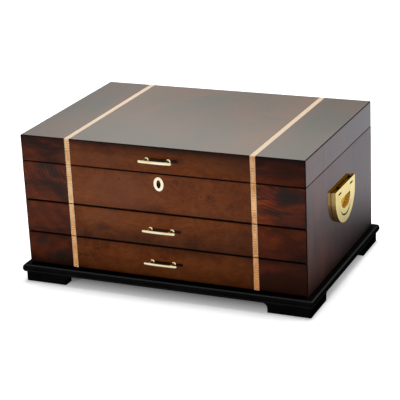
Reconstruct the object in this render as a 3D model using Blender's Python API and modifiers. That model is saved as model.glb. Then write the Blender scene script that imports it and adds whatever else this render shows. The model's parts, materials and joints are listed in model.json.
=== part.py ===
"""Lacquered jewelry chest: box lid with a lock, two drawers, folding side handles, moulded base.

Metres, +Z up, front towards -Y. The origin is on the ground under the middle of the whole chest.
"""

import math

import bmesh
import bpy
from mathutils import Matrix, Vector

# Clearances
GAP = 0.0003
MITRE_GAP = 0.0004
SCREW_CLEAR = 0.0002
CUT_PAST = 0.001
WELD = 0.00001

# Case
CASE_WIDTH = 0.381
CASE_DEPTH = 0.2545
WALL = 0.012
SHELF = 0.006
EDGE_EASE = 0.0005

# Heights, from the ground up
FOOT_HEIGHT = 0.0128
MOULDING_HEIGHT = 0.011
FRONT_LIFT = 0.0018
LOWER_FRONT = 0.0423
UPPER_FRONT = 0.04255
FRONT_SEAM = 0.001
PANEL_HEIGHT = 0.05125
LID_HEIGHT = 0.0341

# Base mouldings and bracket feet
LEDGE = 0.0052
MOULDING_BULGE = 0.0035
MOULDING_INSET = 0.022
FOOT_REACH = 0.005
FOOT_LEG = 0.0565
FOOT_FLARE = 0.0065
FOOT_THICK = 0.016
FOOT_EASE = 0.0006

# Lid, mirror and mirror frame
LID_PANEL = 0.008
LID_EASE = 0.0012
MIRROR_THICK = 0.002
MIRROR_LAP = 0.005
MIRROR_FRAME_MARGIN = 0.009
MIRROR_FRAME_WIDTH = 0.014
MIRROR_FRAME_THICK = 0.0055
MIRROR_FRAME_EASE = 0.0015

# Inlay bands
INLAY_INSET = 0.0663
INLAY_WIDTH = 0.007
INLAY_THICK = 0.0008
INLAY_FIT = 0.0001

# Bar pulls
PULL_LENGTH = 0.045
PULL_HEIGHT = 0.004
PULL_THICK = 0.003
PULL_BOW = 0.001
PULL_REACH = 0.0118
PULL_EASE = 0.0007
POST_RADIUS = 0.002
POST_SPACING = 0.0294

# Butt hinges
HINGE_INSET = 0.0705
HINGE_WIDTH = 0.038
LEAF_DEPTH = 0.0095
LEAF_THICK = 0.001
KNUCKLE_RADIUS = 0.0022
KNUCKLE_GAP = 0.0004
KNUCKLE_SET = 0.0002
TAB_INSET = 0.0004
HINGE_PIN_RADIUS = 0.001
PIN_CLEAR = 0.00015
HINGE_SCREW_SPACING = 0.024
HINGE_SCREW_HEAD = 0.0022
HINGE_SCREW_HEAD_DEPTH = 0.0008
HINGE_SCREW_SHANK = 0.001

# Keyhole plate and keyhole
KEYHOLE_DROP = 0.0131
PLATE_WIDTH = 0.0135
PLATE_HEIGHT = 0.0183
PLATE_PROUD = 0.001
PLATE_SUNK = 0.0005
PLATE_EASE = 0.0006
KEYHOLE_WIDTH = 0.0056
KEYHOLE_HEIGHT = 0.0107

# Box lock: case, cam, bolt and the strike with its eye
LOCK_WIDTH = 0.034
LOCK_HEIGHT = 0.03
LOCK_DEPTH = 0.0075
LOCK_SKIN = 0.0008
KEY_SLOT_WIDTH = 0.0024
KEY_SLOT_HEIGHT = 0.0066
CAM_RADIUS = 0.0045
CAM_THICK = 0.0018
CAM_THROW = 0.0032
CAM_RING = 0.0008
DRIVE_PIN_RADIUS = 0.0009
DRIVE_PIN_LENGTH = 0.003
DRIVE_CLEAR = 0.00025
BOLT_LIFT = 0.0006
BOLT_THICK = 0.002
BOLT_HALF = 0.004
BOLT_BELOW = 0.0055
BOLT_ABOVE = 0.0078
FINGER_HEIGHT = 0.0018
FINGER_LENGTH = 0.0046
GUIDE_HALF = 0.0095
GUIDE_HEIGHT = 0.001
STRIKE_THICK = 0.0012
EYE_GAP = 0.0004
EYE_WALL = 0.0011
EYE_THICK = 0.002
EYE_CLEAR = 0.0005

# Drawer boxes
DRAWER_SIDE = 0.008
DRAWER_BOTTOM = 0.004
DRAWER_SIDE_CLEAR = 0.0006
DRAWER_TOP_CLEAR = 0.002
DRAWER_BACK_CLEAR = 0.006
DIVIDER = 0.004
DIVIDER_HEIGHT_SHARE = 0.72
LONG_SPLIT_SHARES = {"upper": 0.5, "lower": 0.42}
CROSS_SPLIT_SHARES = {"upper": (-0.17, 0.17), "lower": (0.0,)}

# Top compartment
COMPARTMENT_DIVIDER = 0.004
COMPARTMENT_DIVIDER_HEIGHT = 0.03
COMPARTMENT_SPLIT_SHARE = -0.18
ROLL_COUNT = 6
ROLL_OVERLAP_SHARE = 0.06
ROLL_CROWN_SHARE = 0.6
ROLL_SEAT_SHARE = 0.82
ROLL_PAD_REACH_SHARE = 0.4
ROLL_PAD_HEIGHT_SHARE = 0.6

# Side handles
HANDLE_CENTRE = 0.112
HANDLE_RIM_DROP = 0.0301
HANDLE_WIDTH = 0.075
HANDLE_HEIGHT = 0.05
BACK_PLATE = 0.0043
BACK_PLATE_INSET = 0.0004
BAIL_GAP = 0.0005
BAIL_THICK = 0.0063
BAIL_EASE = 0.0006
LUG_CENTRE = 0.0222
LUG_WIDTH = 0.0102
LUG_RADIUS = 0.0019
LUG_CLEAR = 0.0004
BAIL_PIN_RADIUS = 0.0009
BAIL_PIN_LENGTH = 0.06
SLOT_DROP = 0.0064
SLOT_HEIGHT = 0.0025
FINGER_HOLE_WIDTH = 0.035
FINGER_HOLE_DROP = 0.0153
FINGER_HOLE_STRAIGHT = 0.0042
FINGER_HOLE_ROUND = 0.012
FINGER_HOLE_CORNER = 0.002
CRESCENT_DROP = 0.0412
CRESCENT_WIDTH = 0.044
CRESCENT_RISE = 0.0154
CRESCENT_THICK = 0.0024
CRESCENT_DEPTH = 0.003
HANDLE_SCREW_HEAD = 0.0028
HANDLE_SCREW_HEAD_DEPTH = 0.0018
HANDLE_SCREW_SHANK = 0.0012
UPPER_SCREW_OUT = 0.029
UPPER_SCREW_DROP = 0.0125
LOWER_SCREW_OUT = 0.015
LOWER_SCREW_DROP = 0.04

# Levels and faces that follow from the sizes
HALF = CASE_WIDTH / 2
INNER_HALF = HALF - WALL
INLAY_CENTRE = HALF - INLAY_INSET
HINGE_CENTRE = HALF - HINGE_INSET
MOULDING_REACH = LEDGE + MOULDING_BULGE
FRONT = (PULL_REACH - CASE_DEPTH - MOULDING_REACH) / 2
BACK = FRONT + CASE_DEPTH
INNER_FRONT = FRONT + WALL
INNER_BACK = BACK - WALL
BASE_TOP = FOOT_HEIGHT + MOULDING_HEIGHT
CASE_BOTTOM = BASE_TOP + GAP
LOWER_BOTTOM = BASE_TOP + FRONT_LIFT
LOWER_TOP = LOWER_BOTTOM + LOWER_FRONT
UPPER_BOTTOM = LOWER_TOP + FRONT_SEAM
UPPER_TOP = UPPER_BOTTOM + UPPER_FRONT
PANEL_BOTTOM = UPPER_TOP + FRONT_SEAM
RIM = PANEL_BOTTOM + PANEL_HEIGHT
LID_BOTTOM = RIM + GAP
LID_TOP = LID_BOTTOM + LID_HEIGHT
DRAWER_SHELF = LOWER_TOP + FRONT_SEAM / 2 - SHELF / 2
COMPARTMENT_FLOOR = UPPER_TOP + FRONT_SEAM / 2 + SHELF / 2
HINGE_AXIS_Y = BACK + KNUCKLE_SET + KNUCKLE_RADIUS
HINGE_AXIS_Z = RIM + GAP / 2
KEYHOLE_Z = RIM - KEYHOLE_DROP
BAIL_BACK = HALF + GAP + BACK_PLATE + BAIL_GAP
BAIL_AXIS_X = BAIL_BACK + BAIL_THICK / 2
HANDLE_Y = FRONT + HANDLE_CENTRE
HANDLE_TOP = RIM - HANDLE_RIM_DROP
BAIL_AXIS_Z = HANDLE_TOP - BAIL_THICK / 2

# Labels and signs of the two sides and the two ends
SIDES = (("left", -1), ("right", 1))
ENDS = (("front", -1), ("back", 1))

# Degrees round the lid's rear top edge, from straight up, where a lid band ends
BAND_END = 42

SMOOTH_ANGLE = math.radians(35)
EASE_ANGLE = math.radians(30)

# Finish: base colour, roughness, metallic
FINISHES = {
    "burl": ((0.110, 0.036, 0.017), 0.20, 0.0),
    "ebonised": ((0.006, 0.005, 0.005), 0.18, 0.0),
    "inlay": ((0.72, 0.45, 0.20), 0.25, 0.0),
    "drawer_wood": ((0.16, 0.075, 0.035), 0.45, 0.0),
    "lined_wood": ((0.30, 0.24, 0.17), 0.95, 0.0),
    "ring_fabric": ((0.42, 0.34, 0.25), 0.95, 0.0),
    "mirror": ((0.90, 0.91, 0.92), 0.02, 1.0),
    "gold": ((0.87, 0.66, 0.30), 0.16, 1.0),
    "steel": ((0.55, 0.54, 0.52), 0.35, 1.0),
}


def clear_scene():
    for obj in list(bpy.data.objects):
        bpy.data.objects.remove(obj, do_unlink=True)


def new_collection(name):
    collection = bpy.data.collections.new(name)
    bpy.context.scene.collection.children.link(collection)
    return collection


def finish_material(name, finish):
    colour, roughness, metallic = FINISHES[finish]
    material = bpy.data.materials.new(name)
    material.use_nodes = True
    shader = material.node_tree.nodes["Principled BSDF"]
    shader.inputs["Base Color"].default_value = (*colour, 1.0)
    shader.inputs["Roughness"].default_value = roughness
    shader.inputs["Metallic"].default_value = metallic
    return material


def add_object(name, mesh, finish, at=(0, 0, 0), turn=(0, 0, 0)):
    """A part where a finish is given, otherwise a cutter or guide."""
    obj = bpy.data.objects.new(name, mesh)
    obj.location = at
    obj.rotation_euler = turn
    if finish is None:
        CUTTERS.objects.link(obj)
        obj.display_type = "WIRE"
        obj.hide_render = True
        return obj
    PARTS.objects.link(obj)
    mesh.materials.clear()
    mesh.materials.append(finish_material(name, finish))
    mesh.shade_smooth()
    mesh.set_sharp_from_angle(angle=SMOOTH_ANGLE)
    return obj


def world(obj):
    """World matrix from the object's own placing and its parents'."""
    if obj.parent is None:
        return obj.matrix_basis.copy()
    return world(obj.parent) @ obj.matrix_parent_inverse @ obj.matrix_basis


def carry(parent, *children):
    """Parent the children where they stand."""
    for child in children:
        child.parent = parent
        child.matrix_parent_inverse = world(parent).inverted()


def joint_empty(name, at):
    empty = bpy.data.objects.new(name, None)
    empty.location = at
    PARTS.objects.link(empty)
    return empty


def box(name, low, high, finish=None):
    low, high = Vector(low), Vector(high)
    mesh = bpy.data.meshes.new(name)
    bm = bmesh.new()
    bmesh.ops.create_cube(bm, size=1)
    bmesh.ops.scale(bm, vec=high - low, verts=bm.verts)
    bm.to_mesh(mesh)
    bm.free()
    return add_object(name, mesh, finish, at=(low + high) / 2)


def cylinder(name, start, end, radius, sides, finish=None):
    start, end = Vector(start), Vector(end)
    run = end - start
    mesh = bpy.data.meshes.new(name)
    bm = bmesh.new()
    bmesh.ops.create_cone(bm, cap_ends=True, segments=sides, radius1=radius, radius2=radius, depth=run.length)
    bm.to_mesh(mesh)
    bm.free()
    turn = Vector((0, 0, 1)).rotation_difference(run).to_euler()
    return add_object(name, mesh, finish, at=(start + end) / 2, turn=turn)


# Turns that stand a flat outline up: its x and y become the two axes after the named one
PRISM_TURNS = {
    "Z": (0, 0, 0),
    "Y": (math.pi / 2, 0, 0),
    "X": (math.pi / 2, 0, math.pi / 2),
}


def prism(name, outlines, axis, at, depth, finish=None):
    """Flat outlines (x,y for Z; x,z for Y; y,z for X) extruded by depth about the point at."""
    curve = bpy.data.curves.new(name, "CURVE")
    curve.dimensions = "2D"
    curve.fill_mode = "BOTH"
    curve.extrude = depth / 2
    for outline in outlines:
        spline = curve.splines.new("POLY")
        spline.points.add(len(outline) - 1)
        for point, (u, v) in zip(spline.points, outline):
            point.co = (u, v, 0, 1)
        spline.use_cyclic_u = True
    drawn = bpy.data.objects.new(name, curve)
    drawn.location = at
    drawn.rotation_euler = PRISM_TURNS[axis]
    bpy.context.scene.collection.objects.link(drawn)
    bpy.context.view_layer.update()
    evaluated = drawn.evaluated_get(bpy.context.evaluated_depsgraph_get())
    mesh = bpy.data.meshes.new_from_object(evaluated)
    placed = drawn.matrix_world.copy()
    bpy.data.objects.remove(drawn)
    bpy.data.curves.remove(curve)
    bm = bmesh.new()
    bm.from_mesh(mesh)
    bmesh.ops.remove_doubles(bm, verts=bm.verts, dist=WELD)
    bmesh.ops.recalc_face_normals(bm, faces=bm.faces)
    bm.to_mesh(mesh)
    bm.free()
    mesh.name = name
    obj = add_object(name, mesh, finish)
    obj.matrix_world = placed
    return obj


def arc(centre, radii, start, end, steps):
    """Points on an elliptical arc, angles in degrees, both ends included."""
    angles = (math.radians(start + (end - start) * step / steps) for step in range(steps + 1))
    return [(centre[0] + radii[0] * math.cos(a), centre[1] + radii[1] * math.sin(a)) for a in angles]


def oval(width, height, steps):
    return arc((0, 0), (width / 2, height / 2), 0, 360, steps)[:-1]


def ease(obj, width, segments=2):
    bevel = obj.modifiers.new("ease", "BEVEL")
    bevel.width = width
    bevel.segments = segments
    bevel.limit_method = "ANGLE"
    bevel.angle_limit = EASE_ANGLE
    return obj


def boolean(obj, operation, tools):
    for tool in tools:
        modifier = obj.modifiers.new(tool.name, "BOOLEAN")
        modifier.operation = operation
        modifier.solver = "EXACT"
        modifier.object = tool
        if tool.parent is None:
            carry(obj, tool)
    return obj


def cut(obj, *tools):
    return boolean(obj, "DIFFERENCE", tools)


def join(obj, *tools):
    return boolean(obj, "UNION", tools)


def trim(obj, *tools):
    return boolean(obj, "INTERSECT", tools)


def add_turned(bm, profile, matrix, sides):
    """Spin a profile of (radius, height) points about its own Z, then place it."""
    before = set(bm.verts)
    verts = [bm.verts.new((radius, 0, height)) for radius, height in profile]
    edges = [bm.edges.new(pair) for pair in zip(verts, verts[1:])]
    bmesh.ops.spin(
        bm, geom=verts + edges, cent=(0, 0, 0), axis=(0, 0, 1), angle=math.tau, steps=sides, use_merge=True
    )
    made = [vert for vert in bm.verts if vert not in before]
    bmesh.ops.transform(bm, matrix=matrix, verts=made)


def turned(name, profile, places, outward, sides):
    """Turned tools for booleans at several places, their own +Z along outward."""
    turn = Vector((0, 0, 1)).rotation_difference(Vector(outward)).to_matrix().to_4x4()
    mesh = bpy.data.meshes.new(name)
    bm = bmesh.new()
    for place in places:
        add_turned(bm, profile, Matrix.Translation(place) @ turn, sides)
    bmesh.ops.remove_doubles(bm, verts=bm.verts, dist=WELD)
    bmesh.ops.recalc_face_normals(bm, faces=bm.faces)
    bm.to_mesh(mesh)
    bm.free()
    return add_object(name, mesh, None)


def countersunk_hole(head, head_depth, shank, wall):
    """Profile of a countersunk hole through a wall, from above its face to below its back."""
    wide, narrow, foot = head + SCREW_CLEAR, shank + SCREW_CLEAR, -wall - CUT_PAST
    return [(0, CUT_PAST), (wide, CUT_PAST), (wide, 0), (narrow, -head_depth), (narrow, foot), (0, foot)]


def make_case():
    side_height = RIM - CASE_BOTTOM
    for label, s in SIDES:
        outline = [
            (s * HALF, MITRE_GAP),
            (s * HALF, CASE_DEPTH),
            (s * INNER_HALF, CASE_DEPTH),
            (s * INNER_HALF, WALL + MITRE_GAP),
        ]
        at = (0, FRONT, CASE_BOTTOM + side_height / 2)
        ease(prism(f"case_side_{label}", [outline], "Z", at, side_height, "burl"), EDGE_EASE)
    inside = INNER_HALF - GAP
    back = ease(box("case_back", (-inside, INNER_BACK, CASE_BOTTOM), (inside, BACK, RIM), "burl"), EDGE_EASE)
    panel = make_front("case_front_panel", PANEL_BOTTOM, RIM)
    near, far = INNER_FRONT + GAP, INNER_BACK - GAP
    box("case_bottom", (-inside, near, CASE_BOTTOM), (inside, far, CASE_BOTTOM + SHELF), "drawer_wood")
    box("drawer_shelf", (-inside, near, DRAWER_SHELF), (inside, far, DRAWER_SHELF + SHELF), "drawer_wood")
    floor = COMPARTMENT_FLOOR
    box("compartment_floor", (-inside, near, floor - SHELF), (inside, far, floor), "lined_wood")
    return back, panel


def make_front(name, bottom, top):
    """A full-width front whose ends are mitred to meet the case sides."""
    outline = [(-HALF, 0), (HALF, 0), (INNER_HALF, WALL), (-INNER_HALF, WALL)]
    at = (0, FRONT, (bottom + top) / 2)
    return ease(prism(name, [outline], "Z", at, top - bottom, "burl"), EDGE_EASE)


def inlay_outline(bottom, top):
    """Section of a front band: its outer corners follow the eased edges of the front."""
    lower = arc((EDGE_EASE, bottom + EDGE_EASE), (EDGE_EASE, EDGE_EASE), 270, 180, 2)
    upper = arc((EDGE_EASE, top - EDGE_EASE), (EDGE_EASE, EDGE_EASE), 180, 90, 2)
    return [(INLAY_THICK, bottom), *lower, *upper, (INLAY_THICK, top)]


def add_front_inlay(name, front, bottom, top):
    """Two bands let into a front, one at each side of its middle."""
    outline = inlay_outline(bottom, top)
    bands = []
    for label, s in SIDES:
        x = s * INLAY_CENTRE
        groove_half = INLAY_WIDTH / 2 + INLAY_FIT
        low = (x - groove_half, FRONT - CUT_PAST, bottom - CUT_PAST)
        high = (x + groove_half, FRONT + INLAY_THICK + GAP, top + CUT_PAST)
        cut(front, box(f"{name}_groove_{label}", low, high))
        bands.append(prism(f"{name}_{label}", [outline], "X", (x, FRONT, 0), INLAY_WIDTH, "inlay"))
    return bands


def make_base():
    """Four mitred mouldings: a flat ledge round the case that ends in a bullnose."""
    mid = MOULDING_HEIGHT / 2
    nose = arc((LEDGE, 0), (MOULDING_BULGE, mid), -90, 90, 8)
    section = [(-MOULDING_INSET, -mid), *nose, (-MOULDING_INSET, mid)]
    far = MOULDING_REACH + CUT_PAST
    inner = MOULDING_INSET + CUT_PAST
    slip = MITRE_GAP / 2
    z = FOOT_HEIGHT + mid
    middle = (FRONT + BACK) / 2
    half_depth = CASE_DEPTH / 2
    for label, s in ENDS:
        outline = [(s * (half_depth + out), height) for out, height in section]
        length = 2 * (HALF + MOULDING_REACH)
        obj = prism(f"base_moulding_{label}", [outline], "X", (0, middle, z), length, "ebonised")
        mitre = [
            (-(HALF + far - slip), s * (half_depth + far)),
            (HALF + far - slip, s * (half_depth + far)),
            (HALF - inner - slip, s * (half_depth - inner)),
            (-(HALF - inner - slip), s * (half_depth - inner)),
        ]
        trim(obj, prism(f"mitre_{label}", [mitre], "Z", (0, middle, z), MOULDING_HEIGHT + CUT_PAST))
    for label, s in SIDES:
        outline = [(s * (HALF + out), height) for out, height in section]
        length = 2 * (half_depth + MOULDING_REACH)
        obj = prism(f"base_moulding_{label}", [outline], "Y", (0, middle, z), length, "ebonised")
        mitre = [
            (s * (HALF + far), -(half_depth + far - slip)),
            (s * (HALF + far), half_depth + far - slip),
            (s * (HALF - inner), half_depth - inner - slip),
            (s * (HALF - inner), -(half_depth - inner - slip)),
        ]
        trim(obj, prism(f"mitre_{label}", [mitre], "Z", (0, middle, z), MOULDING_HEIGHT + CUT_PAST))


def make_feet():
    """Bracket feet: a mitred corner whose two legs end in a cove under the moulding."""
    height = FOOT_HEIGHT - GAP
    long = FOOT_LEG + FOOT_FLARE
    cove = arc((long, height - FOOT_FLARE), (FOOT_FLARE, FOOT_FLARE), 180, 90, 5)
    past = long + CUT_PAST
    side_cut = [(FOOT_LEG, -CUT_PAST), *cove, (past, height), (past, -CUT_PAST)]
    for side, s in SIDES:
        for end, t in ENDS:
            corner_x = s * (HALF + FOOT_REACH)
            corner_y = (FRONT - FOOT_REACH) if t < 0 else (BACK + FOOT_REACH)
            plan = [(0, 0), (long, 0), (long, FOOT_THICK), (FOOT_THICK, FOOT_THICK), (FOOT_THICK, long), (0, long)]
            plan = [(-s * u, -t * v) for u, v in plan]
            name = f"foot_{end}_{side}"
            foot = prism(name, [plan], "Z", (corner_x, corner_y, height / 2), height, "ebonised")
            ease(foot, FOOT_EASE)
            wide = 2 * (FOOT_THICK + CUT_PAST)
            across = prism(f"{name}_cove_x", [[(-s * u, v) for u, v in side_cut]], "Y", (corner_x, corner_y, 0), wide)
            along = prism(f"{name}_cove_y", [[(-t * u, v) for u, v in side_cut]], "X", (corner_x, corner_y, 0), wide)
            cut(foot, across, along)


def make_lid():
    lid = box("lid_box", (-HALF, FRONT, LID_BOTTOM), (HALF, BACK, LID_TOP), "burl")
    bevel = ease(lid, LID_EASE).modifiers["ease"]
    bevel.limit_method = "WEIGHT"
    weights = lid.data.attributes.new("bevel_weight_edge", "FLOAT", "EDGE")
    for edge in lid.data.edges:
        low = all(lid.data.vertices[index].co.z < 0 for index in edge.vertices)
        weights.data[edge.index].value = EDGE_EASE / LID_EASE if low else 1
    hollow_low = (-INNER_HALF, INNER_FRONT, LID_BOTTOM - CUT_PAST)
    cut(lid, box("lid_hollow", hollow_low, (INNER_HALF, INNER_BACK, LID_TOP - LID_PANEL)))
    return lid


def lid_band_outline():
    """Section of a lid band: up the front edge and back over the top, round the eased corners."""
    lower = arc((EDGE_EASE, EDGE_EASE - LID_HEIGHT), (EDGE_EASE, EDGE_EASE), 270, 180, 2)
    upper = arc((LID_EASE, -LID_EASE), (LID_EASE, LID_EASE), 180, 90, 2)
    rear = arc((CASE_DEPTH - LID_EASE, -LID_EASE), (LID_EASE, LID_EASE), 90, BAND_END, 2)
    thick = INLAY_THICK
    return [(thick, -LID_HEIGHT), *lower, *upper, *rear, (rear[-1][0], -thick), (thick, -thick)]


def add_lid_inlay(lid):
    deep = INLAY_THICK + GAP
    rear, foot = CASE_DEPTH + CUT_PAST, -LID_HEIGHT - CUT_PAST
    groove = [(-CUT_PAST, foot), (-CUT_PAST, CUT_PAST), (rear, CUT_PAST), (rear, -deep), (deep, -deep), (deep, foot)]
    bands = []
    for label, s in SIDES:
        at = (s * INLAY_CENTRE, FRONT, LID_TOP)
        cut(lid, prism(f"lid_inlay_groove_{label}", [groove], "X", at, INLAY_WIDTH + 2 * INLAY_FIT))
        bands.append(prism(f"lid_inlay_{label}", [lid_band_outline()], "X", at, INLAY_WIDTH, "inlay"))
    return bands


def make_mirror():
    ceiling = LID_TOP - LID_PANEL - GAP
    edge_x = INNER_HALF - MIRROR_FRAME_MARGIN
    near, far = INNER_FRONT + MIRROR_FRAME_MARGIN, INNER_BACK - MIRROR_FRAME_MARGIN
    frame = box(
        "mirror_frame", (-edge_x, near, ceiling - MIRROR_FRAME_THICK), (edge_x, far, ceiling), "burl"
    )
    ease(frame, MIRROR_FRAME_EASE)
    w = MIRROR_FRAME_WIDTH
    low = (w - edge_x, near + w, ceiling - MIRROR_FRAME_THICK - CUT_PAST)
    sight = box("mirror_sight", low, (edge_x - w, far - w, ceiling + CUT_PAST))
    lap = w - MIRROR_LAP
    rebate_low = (lap - edge_x, near + lap, ceiling - MIRROR_THICK - GAP)
    rebate = box("mirror_rebate", rebate_low, (edge_x - lap, far - lap, ceiling + CUT_PAST))
    cut(frame, sight, rebate)
    inset = lap + GAP
    mirror = box(
        "lid_mirror",
        (inset - edge_x, near + inset, ceiling - MIRROR_THICK),
        (edge_x - inset, far - inset, ceiling),
        "mirror",
    )
    return frame, mirror


def make_pull(name, z):
    """A slightly bowed bar on two round posts."""
    half = PULL_LENGTH / 2
    steps = 10
    spots = [half * (2 * step / steps - 1) for step in range(steps + 1)]
    face = [(x, PULL_BOW * (x / half) ** 2 - PULL_REACH) for x in spots]
    rear = [(x, y + PULL_THICK) for x, y in reversed(face)]
    bar = prism(name, [face + rear], "Z", (0, FRONT, z), PULL_HEIGHT, "gold")
    ease(bar, PULL_EASE)
    post_x = POST_SPACING / 2
    post_end = PULL_THICK / 2 - PULL_REACH + PULL_BOW
    for label, s in SIDES:
        foot, end = (s * post_x, FRONT - GAP, z), (s * post_x, FRONT + post_end, z)
        join(bar, cylinder(f"{name}_post_{label}", foot, end, POST_RADIUS, 14))
    return bar


def make_hinge(label, s, lid, back):
    """A butt hinge let into the rim and the lid, its knuckles behind the back."""
    middle = s * HINGE_CENTRE
    half = HINGE_WIDTH / 2
    edge = HINGE_AXIS_Y - KNUCKLE_RADIUS - GAP
    inner = BACK - LEAF_DEPTH
    run = (HINGE_WIDTH - 4 * KNUCKLE_GAP) / 5
    starts = [-half + step * (run + KNUCKLE_GAP) for step in range(5)]
    bore_radius = HINGE_PIN_RADIUS + PIN_CLEAR
    leaves = []
    for part, owned, low, target in (
        ("case", starts[0::2], RIM - LEAF_THICK, back),
        ("lid", starts[1::2], LID_BOTTOM, lid),
    ):
        name = f"hinge_{part}_leaf_{label}"
        plan = [(-half, inner), (half, inner), (half, edge)]
        for start in reversed(owned):
            near, far = start + TAB_INSET, start + run - TAB_INSET
            plan += [(far, edge), (far, HINGE_AXIS_Y), (near, HINGE_AXIS_Y), (near, edge)]
        plan += [(-half, edge)]
        at = (middle, 0, low + LEAF_THICK / 2)
        leaf = prism(name, [plan], "Z", at, LEAF_THICK, "gold")
        for step, start in enumerate(owned):
            ends = [(middle + x, HINGE_AXIS_Y, HINGE_AXIS_Z) for x in (start, start + run)]
            join(leaf, cylinder(f"{name}_knuckle_{step}", *ends, KNUCKLE_RADIUS, 16))
        ends = [(middle + x, HINGE_AXIS_Y, HINGE_AXIS_Z) for x in (-half - CUT_PAST, half + CUT_PAST)]
        cut(leaf, cylinder(f"{name}_bore", *ends, bore_radius, 16))
        x = half + GAP
        mortise_low, mortise_high = (RIM - LEAF_THICK - GAP, RIM + CUT_PAST)
        if part == "lid":
            mortise_low, mortise_high = (LID_BOTTOM - CUT_PAST, LID_BOTTOM + LEAF_THICK + GAP)
        lower, upper = (middle - x, inner - GAP, mortise_low), (middle + x, BACK + CUT_PAST, mortise_high)
        cut(target, box(f"{name}_mortise", lower, upper))
        leaves.append(leaf)
    return leaves


def cut_screw_holes(name, leaves, face, outward):
    """Countersunk holes through the leaves of both hinges."""
    y = BACK - LEAF_DEPTH / 2
    half = HINGE_SCREW_SPACING / 2
    places = [(s * HINGE_CENTRE + t * half, y, face) for s in (-1, 1) for t in (-1, 1)]
    hole = countersunk_hole(HINGE_SCREW_HEAD, HINGE_SCREW_HEAD_DEPTH, HINGE_SCREW_SHANK, LEAF_THICK)
    holes = turned(name, hole, places, outward, 10)
    for leaf in leaves:
        cut(leaf, holes)


def make_hinge_pins():
    half = HINGE_WIDTH / 2
    for label, s in SIDES:
        ends = [(s * HINGE_CENTRE + x, HINGE_AXIS_Y, HINGE_AXIS_Z) for x in (-half, half)]
        cylinder(f"hinge_pin_{label}", *ends, HINGE_PIN_RADIUS, 12, "gold")


def make_keyhole_plate(panel):
    """An oval plate let into the fixed front, round an oval hole that runs through to the lock."""
    outline = oval(PLATE_WIDTH, PLATE_HEIGHT, 28)
    hole = oval(KEYHOLE_WIDTH, KEYHOLE_HEIGHT, 20)
    thick = PLATE_PROUD + PLATE_SUNK
    at = (0, FRONT + (PLATE_SUNK - PLATE_PROUD) / 2, KEYHOLE_Z)
    plate = ease(prism("keyhole_plate", [outline, hole], "Y", at, thick, "gold"), PLATE_EASE)
    seat = oval(PLATE_WIDTH + 2 * INLAY_FIT, PLATE_HEIGHT + 2 * INLAY_FIT, 28)
    seat_depth = 2 * (PLATE_SUNK + GAP)
    through = 2 * (WALL + CUT_PAST)
    cut(panel, prism("keyhole_seat", [seat], "Y", (0, FRONT, KEYHOLE_Z), seat_depth))
    cut(panel, prism("keyhole_bore", [hole], "Y", (0, FRONT, KEYHOLE_Z), through))
    return plate


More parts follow.
